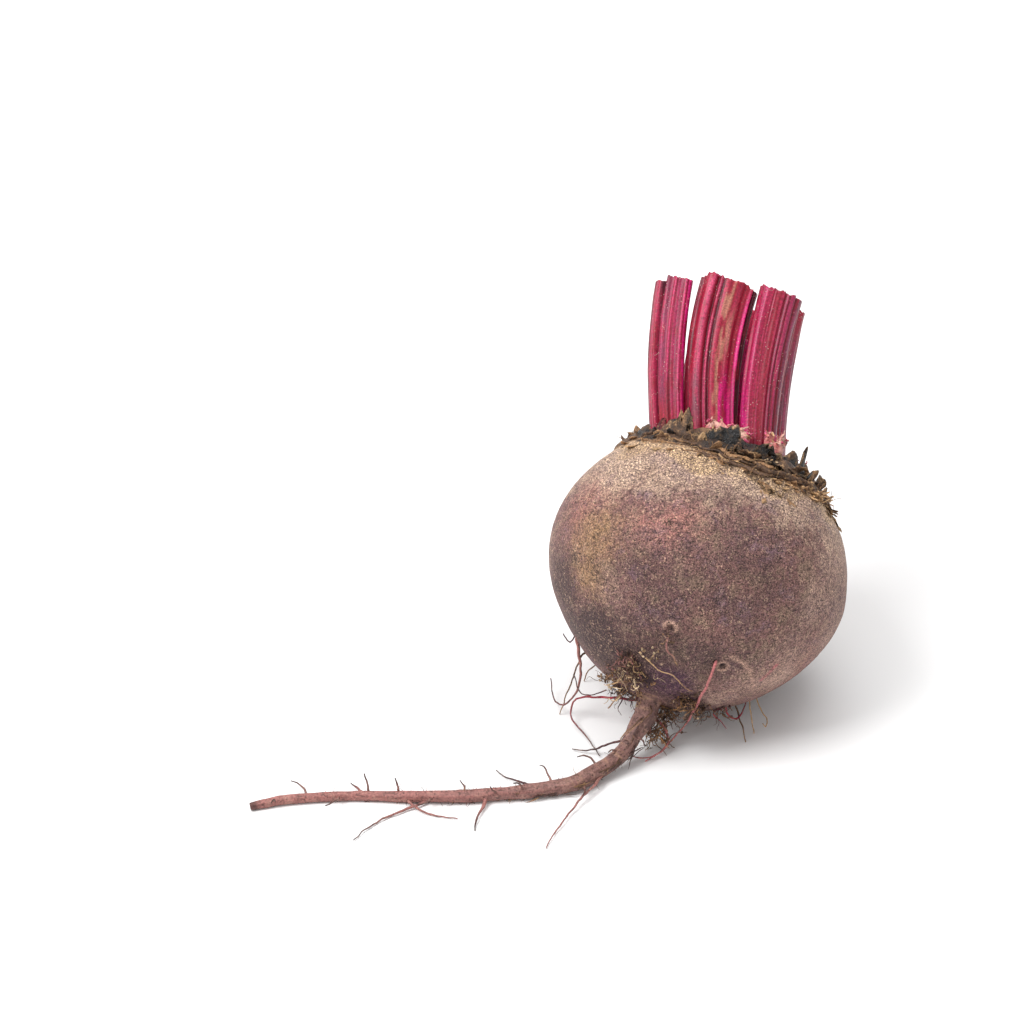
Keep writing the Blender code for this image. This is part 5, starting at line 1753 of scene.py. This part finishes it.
    def ruled_plates(self, draw: np.random.Generator) -> list[LeafPlate]:
        """The plates at the crown's back, the leaf scars inside them and the shreds of bark on the rim."""
        listed = []
        for number in range(self.back_plates):
            first, last = self.back_span
            direction = first + (last - first) * number / (self.back_plates - 1) + draw.uniform(-3.0, 3.0)
            tints = ((Tint.UMBER, Tint.BARK), (Tint.CHARCOAL, Tint.UMBER), (Tint.UMBER, Tint.STRAW))
            size = draw.uniform(4.0, 8.5), draw.uniform(3.2, 6.0)
            listed.append(LeafPlate(direction, draw.uniform(21.2, 23.2), *size, draw.uniform(0.0, 44.0),
                                    draw.uniform(-0.4, 0.4), tints[number % 3], draw.uniform(0.0, 1.0)))
        for number in range(self.scars):
            direction = 20.0 + 150.0 * number / (self.scars - 1) + draw.uniform(-5.0, 5.0)
            tints = ((Tint.UMBER, Tint.BARK), (Tint.CRIMSON, Tint.BLUSH), (Tint.CHARCOAL, Tint.UMBER))
            listed.append(LeafPlate(direction, draw.uniform(14.5, 19.5), draw.uniform(4.0, 7.0),
                                    draw.uniform(1.6, 3.4), draw.uniform(0.0, 30.0), draw.uniform(-0.4, 0.4),
                                    tints[number % 3], draw.uniform(0.0, 0.5)))
        for number in range(self.bark):
            tints = ((Tint.BARK, Tint.STRAW), (Tint.BARK, Tint.BARK), (Tint.UMBER, Tint.STRAW))[number % 3]
            around = self.bark_span if number % 4 else (0.0, 360.0)
            reach = draw.uniform(24.0, 30.0 if number % 4 else 25.5)
            listed.append(LeafPlate(draw.uniform(*around), reach, draw.uniform(2.0, 6.5),
                                    draw.uniform(1.4, 3.6), draw.uniform(56.0, 86.0),
                                    draw.uniform(-0.5, 0.5), tints, draw.uniform(0.0, 1.0)))
        return listed

    def strands(self, draw: np.random.Generator) -> Surface:
        """Fibrous strands that run round the outer edge and roll over each other."""
        count, rows = self.strand_count, 70
        front = np.arange(count) < self.front_strands
        first = np.radians(np.where(front, draw.uniform(200.0, 320.0, count),
                                    draw.uniform(0.0, 360.0, count)))
        along = np.radians(draw.uniform(14.0, 46.0, count))
        turn = first[:, None] + along[:, None] * even(rows)
        grain = Grain(33)
        key = np.stack([turn * 24.0, 9.0 * np.arange(count)[:, None] + 0 * turn, 0 * turn], -1)
        rolls = (np.arange(count) < self.rolls)[:, None]
        reach = draw.uniform(24.2, 26.8, (count, 1)) + 1.1 * grain.layered(key, 4.0, 3)
        lift = draw.uniform(0.3, 1.5, (count, 1)) + 0.7 * grain.layered(key + 0.5, 3.0, 2) + 0.6 * rolls
        x, y = reach * np.cos(turn) * MM, reach * np.sin(turn) * MM
        paths = np.stack([x, y, self.form.crown_height(x, y) + np.maximum(0.15, lift) * MM], -1)
        taper = np.minimum(1.0, 8.0 * np.minimum(np.linspace(0, 1, rows), np.linspace(1, 0, rows)) + 0.15)
        width = draw.uniform(0.12, 0.5, (count, 1)) * (1.0 + 0.7 * rolls) * MM * taper
        width = width * (1.0 + 0.4 * grain.layered(key + 0.9, 1.1, 2))
        plain = picked((Tint.UMBER, Tint.BARK, Tint.BARK, Tint.CHARCOAL), count, draw)
        tones = np.where(rolls, picked((Tint.BARK, Tint.UMBER, Tint.UMBER), count, draw), plain)
        tones = np.repeat(tones[:, None], rows, 1)
        tones = tones * (1.0 + 0.4 * grain.layered(key + 1.3, 1.0, 2))[..., None]
        return swept(self.form.to_world(paths), width, np.clip(tones, 0.0, 1.0), width * 0.45, columns=10)

    def scales(self, group: ScaleGroup, draw: np.random.Generator) -> Surface:
        """A group's scales: each grows out of the crown at an angle that its curl raises along its length."""
        count, rows = group.count, 9
        around = np.radians(draw.uniform(*group.span, count))
        radius = draw.uniform(*group.radius, count) * MM
        starts = self.form.on_crown(around, radius, 0.5 * MM, np.array(self.middle) * 0.35)
        normal = unit(starts * [1.0, 1.0, 1.6])
        down = np.stack([np.cos(around), np.sin(around), 0 * around], -1)
        down = unit(down - (down * normal).sum(-1, keepdims=True) * normal)
        yaw = draw.normal(0.0, 0.6, count)[:, None]
        side = np.cross(normal, down)
        way, side = down * np.cos(yaw) + side * np.sin(yaw), side * np.cos(yaw) - down * np.sin(yaw)
        share = even(rows)[None, :]
        lean, curl = draw.uniform(*group.lean, count)[:, None], draw.uniform(*group.curl, count)[:, None]
        lean = np.radians(lean + curl * share)
        steps = np.cos(lean)[..., None] * way[:, None] + np.sin(lean)[..., None] * normal[:, None]
        length = draw.uniform(*group.length, count) * MM
        paths = starts[:, None] + np.cumsum(steps, 1) * (length / rows)[:, None, None]
        width = draw.uniform(*group.width, count)[:, None] * MM * (1.0 - 0.9 * share**3.2)
        width = width * draw.uniform(0.75, 1.25, (count, rows))
        tone = picked(group.tints, count, draw)[:, None] * np.linspace(0.8, 1.25, rows)[None, :, None]
        side = side @ self.form.turn.T
        return swept(self.form.to_world(paths), width, tone, 0.14 * MM + 0.05 * width, side, columns=10)

    @staticmethod
    def strewn(count: int, span: tuple[float, float], draw: np.random.Generator) -> Array:
        """Angles: half of them anywhere, half between the two directions in degrees."""
        anywhere = draw.uniform(0, 1, count) < 0.5
        return np.where(anywhere, draw.uniform(0, 2 * math.pi, count), np.radians(draw.uniform(*span, count)))

    def fibres(self, draw: np.random.Generator) -> Surface:
        """Curling fibres along the outer edge and the lip."""
        count = self.fibre_count
        around = self.strewn(count, (215.0, 345.0), draw)
        starts = self.form.on_crown(around, draw.uniform(22.0, 28.0, count) * MM, 0.8 * MM)
        tangent = np.stack([-np.sin(around), np.cos(around), 0 * around], -1)
        ways = tangent * draw.choice([-1, 1], (count, 1))
        ways = ways + draw.normal(0.0, 0.45, (count, 3)) + [0.0, 0.0, 0.25]
        lengths = draw.uniform(2.0, 6.5, count) * MM
        paths = self.form.to_world(curls(starts, ways, lengths, 1.2, 0.0, 10, draw))
        radii = draw.uniform(0.06, 0.15, (count, 1)) * MM * np.linspace(1.0, 0.4, 10)
        paths = self.form.kept_outside(paths, radii + 0.25 * MM)
        tones = picked((Tint.BARK, Tint.STRAW, Tint.UMBER, Tint.UMBER), count, draw)
        return swept(paths, radii, np.repeat(tones[:, None], 10, 1), columns=4)

    def grit(self, draw: np.random.Generator) -> Surface:
        """Crumbs of soil and leaf, strewn over the collar."""
        count = self.crumb_count
        around = self.strewn(count, (258.0, 328.0), draw)
        radius = draw.uniform(20.0, 28.5, count) * MM
        lift = draw.uniform(0.3, 1.8, count) * eased(28.0, 24.0, radius / MM)
        centres = self.form.on_crown(around, radius, lift * MM)
        tones = picked((Tint.CRUMB, Tint.CRUMB, Tint.SOIL, Tint.STRAW, Tint.UMBER), count, draw)
        return crumbs(self.form.to_world(centres), draw.uniform(0.08, 0.36, count) * MM, tones, draw)

    def build(self, finish: bpy.types.Material) -> list[bpy.types.Object]:
        """Makes the collar in two pieces: its skirt and plates, then its strands, scales, fibres and crumbs.

        Args:
            finish: The dry leaf.

        Returns:
            The pieces.
        """
        draw = np.random.default_rng(self.seed)
        ruled = self.ruled_plates(draw)
        leaves = [self.skirt(), self.leathery(list(self.plates), 30, 72), self.leathery(ruled, 13, 30)]
        loose = [self.strands(draw), *(self.scales(group, draw) for group in self.groups)]
        loose += [self.fibres(draw), self.grit(draw)]
        return [
            Surface.joined(leaves).piece("dry_leaf_remains", finish),
            Surface.joined(loose).piece("dry_leaf_shreds", finish),
        ]


@dataclass(frozen=True)
class Tangle:
    """A clump of root hairs with soil in it: its middle, from under the bulb's middle, and spread, in mm."""

    middle: Point
    spread: float
    hairs: int
    lengths: tuple[float, float]
    grains: int
    tints: tuple[Tint, ...]
    out: float = 1.0
    girth: float = 1.0


@dataclass
class ClingingSoil:
    """Root hairs and crumbs of soil that cling to the root half of the bulb and to the taproot."""

    form: BulbForm
    taproot: Taproot
    tangles: tuple[Tangle, ...] = (
        Tangle((-17.6, -30.0, 27.4), 2.6, 96, (1.6, 4.2), 40, (Tint.ROOT_DARK, Tint.UMBER, Tint.ROOT_PINK)),
        Tangle((-15.6, -29.1, 22.7), 3.0, 40, (2.0, 5.0), 36, (Tint.ROOT_DARK, Tint.UMBER, Tint.BARK)),
        Tangle((-16.5, -29.5, 24.6), 4.2, 22, (4.0, 7.5), 24, (Tint.CRUMB, Tint.STRAW, Tint.CRUMB), 1.5, 1.0),
        Tangle((-21.3, -24.4, 20.4), 2.4, 22, (2.0, 5.0), 60, (Tint.BARK, Tint.UMBER, Tint.UMBER), 1.0, 0.8),
        Tangle((-21.9, -22.4, 18.0), 1.2, 8, (1.5, 3.5), 16, (Tint.AMBER, Tint.SOIL)),
        Tangle((-18.4, -20.4, 12.5), 2.2, 44, (2.5, 6.0), 14, (Tint.ROOT_DARK, Tint.THREAD_DARK, Tint.UMBER)),
        Tangle((-14.4, -26.4, 15.4), 1.6, 18, (1.5, 4.0), 20, (Tint.ROOT_DARK, Tint.THREAD_DARK, Tint.BARK)),
        Tangle((-2.6, -29.9, 15.6), 3.0, 60, (2.5, 6.0), 90,
               (Tint.UMBER, Tint.SOIL, Tint.ROOT_DARK, Tint.BARK)),
        Tangle((0.4, -27.8, 12.8), 2.6, 34, (2.5, 6.0), 30, (Tint.UMBER, Tint.ROOT_DARK, Tint.BARK)),
        Tangle((-4.8, -29.2, 16.2), 1.6, 26, (1.5, 3.5), 34, (Tint.AMBER, Tint.SOIL, Tint.UMBER)),
        Tangle((-8.4, -24.0, 9.0), 2.6, 60, (3.0, 7.0), 70,
               (Tint.ROOT_DARK, Tint.SOIL, Tint.AMBER, Tint.UMBER)),
        Tangle((-9.8, -26.4, 5.0), 2.4, 56, (3.0, 7.0), 60, (Tint.UMBER, Tint.SOIL, Tint.AMBER, Tint.BARK)),
        Tangle((-8.8, -34.6, 37.6), 1.2, 7, (1.2, 3.0), 26, (Tint.BARK, Tint.SOIL, Tint.ROOT_DARK), 1.0, 0.7),
        Tangle((-12.0, -32.4, 31.0), 2.6, 6, (1.0, 2.4), 46, (Tint.CRUMB, Tint.STRAW), 1.0, 0.6),
        Tangle((5.0, -24.0, 10.5), 2.6, 14, (3.0, 7.0), 12, (Tint.THREAD_DARK, Tint.CRIMSON, Tint.SOIL)),
        Tangle((9.0, 12.0, 3.0), 6.0, 30, (3.0, 8.0), 30, (Tint.UMBER, Tint.SOIL, Tint.BARK)),
    )
    fuzz: int = 260
    flake_count: int = 26
    seed: int = 19

    def clump(self, tangle: Tangle, draw: np.random.Generator) -> list[Surface]:
        """A clump's hairs, which start on the skin and wander, and its grains."""
        count = tangle.hairs
        middle = self.form.to_crown(self.form.placed(*tangle.middle))
        spots = middle + draw.normal(0.0, tangle.spread * 0.5, (count, 3)) * MM
        skin = unit(spots) * (self.form.skin_distance(unit(spots)) + 0.1 * MM)[:, None]
        starts = self.form.to_world(np.where(np.linalg.norm(spots, axis=-1, keepdims=True)
                                             > np.linalg.norm(skin, axis=-1, keepdims=True), spots, skin))
        outward = unit(starts - self.form.origin)
        ways = outward * tangle.out * 0.5 + draw.normal(0.0, 0.8, (count, 3))
        lengths = draw.uniform(*tangle.lengths, count) * MM
        rows = 14
        paths = curls(starts, ways, lengths, 1.3, 0.4, rows, draw)
        radii = tangle.girth * draw.uniform(0.07, 0.20, (count, 1)) * MM * np.linspace(1.0, 0.45, rows)
        paths = self.form.kept_outside(paths, radii + 0.05 * MM)
        paths[..., 2] = np.maximum(paths[..., 2], radii + 0.02 * MM)
        tones = np.repeat(picked(tangle.tints, count, draw)[:, None], rows, 1)
        tones = tones * draw.uniform(0.7, 1.3, (count, rows, 1))
        made = [swept(paths, radii, tones, columns=4)]
        if tangle.grains:
            host = draw.integers(0, count, tangle.grains)
            row = draw.integers(0, rows, tangle.grains)
            tints = picked((*tangle.tints, *tangle.tints, Tint.CRUMB, Tint.SOIL), tangle.grains, draw)
            sizes = 0.08 + 0.26 * draw.uniform(0.0, 1.0, tangle.grains) ** 2
            made.append(crumbs(paths[host, row], sizes * MM, tints, draw))
        return made

    def flakes(self, draw: np.random.Generator) -> Surface:
        """Dark flakes of bark that lift off the thick part of the taproot."""
        count, rows = self.flake_count, 10
        route = self.taproot.route(0.5 * MM)
        row = (draw.uniform(0.10, 0.42, count) * len(route)).astype(int)
        along = unit(route[row + 1, :3] - route[row, :3])
        side = unit(np.cross(along, [0.0, 0.0, 1.0]))
        angle = draw.uniform(-0.9, 0.7, (count, 1))
        out = -side * np.cos(angle) + np.cross(side, along) * np.sin(angle)
        starts = route[row, :3] + out * route[row, 3:4] * 0.95
        turned = np.cross(along, out)
        ways = along * draw.choice([-1.0, 1.0], (count, 1))
        ways = ways + 0.12 * turned * draw.normal(0.0, 1.0, (count, 1))
        lengths = draw.uniform(2.0, 7.0, count) * MM
        paths = curls(starts, ways + 0.06 * out, lengths, 0.12, 0.0, rows, draw)
        taper = np.sin(np.linspace(0.25, math.pi - 0.1, rows))[None] * draw.uniform(0.7, 1.3, (count, rows))
        width = draw.uniform(0.12, 0.38, (count, 1)) * MM * taper
        tones = picked((Tint.ROOT_DARK, Tint.UMBER, Tint.UMBER, Tint.BARK), count, draw)
        paths[..., 2] = np.maximum(paths[..., 2], width + 0.02 * MM)
        return swept(paths, width, np.repeat(tones[:, None], rows, 1), width * 0.3, turned, columns=8)

    def root_fuzz(self, draw: np.random.Generator) -> Surface:
        """Short hairs all along the taproot, thickest near the bulb."""
        route = self.taproot.route(0.5 * MM)
        row = (draw.beta(1.0, 1.8, self.fuzz) * (len(route) - 2)).astype(int)
        along = unit(route[row + 1, :3] - route[row, :3])
        side = unit(np.cross(along, [0.0, 0.0, 1.0]))
        angle = draw.uniform(0.0, 2.0 * math.pi, (self.fuzz, 1))
        out = side * np.cos(angle) + np.cross(side, along) * np.sin(angle)
        starts = route[row, :3] + out * route[row, 3:4] * 0.9
        paths = curls(starts, out + along * 0.6, draw.uniform(0.8, 3.2, self.fuzz) * MM, 1.0, 0.6, 7, draw)
        radii = draw.uniform(0.04, 0.09, (self.fuzz, 1)) * MM * np.linspace(1.0, 0.5, 7)
        paths[..., 2] = np.maximum(paths[..., 2], radii + 0.02 * MM)
        tones = picked((Tint.ROOT_DARK, Tint.BARK, Tint.ROOT_PINK), self.fuzz, draw)
        return swept(paths, radii, np.repeat(tones[:, None], 7, 1), columns=4)

    def surface(self) -> Surface:
        """Every clump, the flakes and the taproot's short hairs, none of them below the ground."""
        draw = np.random.default_rng(self.seed)
        parts = [part for tangle in self.tangles for part in self.clump(tangle, draw)]
        made = Surface.joined([*parts, self.flakes(draw), self.root_fuzz(draw)])
        made.points[:, 2] = np.maximum(made.points[:, 2], 0.0)
        return made


# The studio.


@dataclass(frozen=True)
class SoftLamp:
    """A square soft light: where it stands, what it looks at, its side and its power."""

    name: str
    place: Point
    target: Point
    side: float
    power: float
    colour: Colour = (1.0, 1.0, 1.0)

    def build(self) -> bpy.types.Object:
        """Makes the light."""
        lamp = bpy.data.lights.new(self.name, "AREA")
        lamp.shape = "SQUARE"
        lamp.size = self.side
        lamp.energy = self.power
        lamp.color = self.colour
        made = bpy.data.objects.new(self.name, lamp)
        made.location = self.place
        made.rotation_euler = (Vector(self.target) - Vector(self.place)).to_track_quat("-Z", "Y").to_euler()
        bpy.context.scene.collection.objects.link(made)
        return made


@dataclass
class Studio:
    """A white floor, soft light from the upper left and a camera that looks 34 degrees down."""

    form: BulbForm
    down: float = math.radians(34.0)
    distance: float = 0.9
    metres_per_pixel: float = 0.24 * MM
    bulb_pixel: tuple[float, float] = (698.0, 570.0)
    frame_side: float = 1024.0
    sensor: float = 36.0
    sky: float = 0.62
    lamps: tuple[SoftLamp, ...] = (
        SoftLamp("key_light", (-0.75, -0.25, 1.1), (0.0, 0.0, 0.03), 0.7, 15.0),
        SoftLamp("top_light", (0.1, 0.25, 1.2), (0.0, 0.0, 0.03), 0.9, 7.0),
    )

    def camera(self) -> bpy.types.Object:
        """Makes the camera: it stands back from the bulb's middle so that this falls on its pixel."""
        ahead = np.array([0.0, math.cos(self.down), -math.sin(self.down)])
        up = np.array([0.0, math.sin(self.down), math.cos(self.down)])
        right = np.array([1.0, 0.0, 0.0])
        half = self.frame_side / 2.0
        aside = (self.bulb_pixel[0] - half) * self.metres_per_pixel
        below = (self.bulb_pixel[1] - half) * self.metres_per_pixel
        place = self.form.origin - ahead * self.distance - right * aside + up * below
        lens = bpy.data.cameras.new("camera")
        lens.sensor_width = self.sensor
        lens.lens = self.sensor * self.distance / (self.frame_side * self.metres_per_pixel)
        lens.clip_start = 0.05
        made = bpy.data.objects.new("camera", lens)
        turn = np.eye(4)
        turn[:3, 0], turn[:3, 1], turn[:3, 2], turn[:3, 3] = right, up, -ahead, place
        made.matrix_world = Matrix(turn.tolist())
        bpy.context.scene.collection.objects.link(made)
        bpy.context.scene.camera = made
        return made

    def light(self) -> None:
        """Makes the even sky and the lamps, and shows colours as they are."""
        world = bpy.data.worlds.new("studio_sky")
        world.use_nodes = True
        world.node_tree.nodes["Background"].inputs["Color"].default_value = (1.0, 1.0, 1.0, 1.0)
        world.node_tree.nodes["Background"].inputs["Strength"].default_value = self.sky
        bpy.context.scene.world = world
        bpy.context.scene.view_settings.view_transform = "Standard"
        for lamp in self.lamps:
            lamp.build()

    def floor(self, finish: bpy.types.Material) -> bpy.types.Object:
        """Makes the floor, six metres square, a hair below the bulb's flat spot."""
        half, level = 3.0, -0.02 * MM
        signs = ((-1, -1), (1, -1), (1, 1), (-1, 1))
        mesh = bpy.data.meshes.new("floor")
        mesh.from_pydata([(half * x, half * y, level) for x, y in signs], [], [(0, 1, 2, 3)])
        mesh.materials.append(finish)
        made = bpy.data.objects.new("floor", mesh)
        bpy.context.scene.collection.objects.link(made)
        made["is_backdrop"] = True
        return made


def dressed(piece: bpy.types.Object, slot: str, *nodes: str) -> None:
    """Lets a piece ride on the root body, in place of its solids, and reports it."""
    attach(piece, "root")
    if nodes:
        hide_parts(*nodes)
    faces = piece.data.loop_triangles
    piece.data.calc_loop_triangles()
    LOG.info("%s: %d triangles, slot %s", piece.name, len(faces), slot)


def main() -> None:
    """Builds the studio, then every piece of the beetroot."""
    logging.basicConfig(level=logging.INFO, format="%(name)s: %(message)s")
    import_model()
    solid_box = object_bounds()
    form = BulbForm()
    studio = Studio(form)
    studio.camera()
    studio.light()
    studio.floor(FloorFinish().build())

    skin, bark = SkinFinish().build(), RootFinish("root_bark").build()
    soil = RootFinish("hair_and_soil").build()
    taproot = Taproot(form)
    dressed(Bulb(form).surface().piece("bulb_skin", skin), "beet_skin", "bulb_and_taproot")
    dressed(taproot.surface().piece("taproot", bark), "beet_skin", "bulb_and_taproot")
    dressed(Rootlets(form, taproot).surface().piece("rootlets", bark), "beet_skin", "bulb_and_taproot")
    dressed(ClingingSoil(form, taproot).surface().piece("root_hairs_and_soil", soil), "beet_skin")

    flesh = StalkFinish().build()
    for stalk in leaf_stalks(form):
        slot = "young_flesh" if stalk.name.startswith("young") else "stalk_flesh"
        dressed(stalk.surface().piece(f"{stalk.name}_flesh", flesh), slot, stalk.name)
    torn = StalkFinish("torn_flesh", fibres=(40.0, 6.0, 1.0)).build()
    for stub in (
        TornStub(form, "torn_stub_1", (-4.0, -13.0), 32.6, 270.0, 11.0, 2.0, 60, seed=1),
        TornStub(form, "torn_stub_2", (7.5, -12.0), 33.8, 303.0, 6.4, 1.8, 40, seed=2),
        TornStub(form, "torn_stub_3", (14.2, -4.2), 30.3, 345.0, 5.0, 2.0, 16, seed=3),
    ):
        dressed(stub.surface().piece(f"{stub.name}_flesh", torn), "torn_flesh", stub.name)
    for piece in DryCollar(form).build(DryLeafFinish().build()):
        dressed(piece, "dry_leaf", "dry_leaf_collar")

    boxes = {"cad": solid_box, "visual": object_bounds()}
    lists = {key: [list(corner) for corner in corners] for key, corners in boxes.items()}


if __name__ == "__main__":
    main()
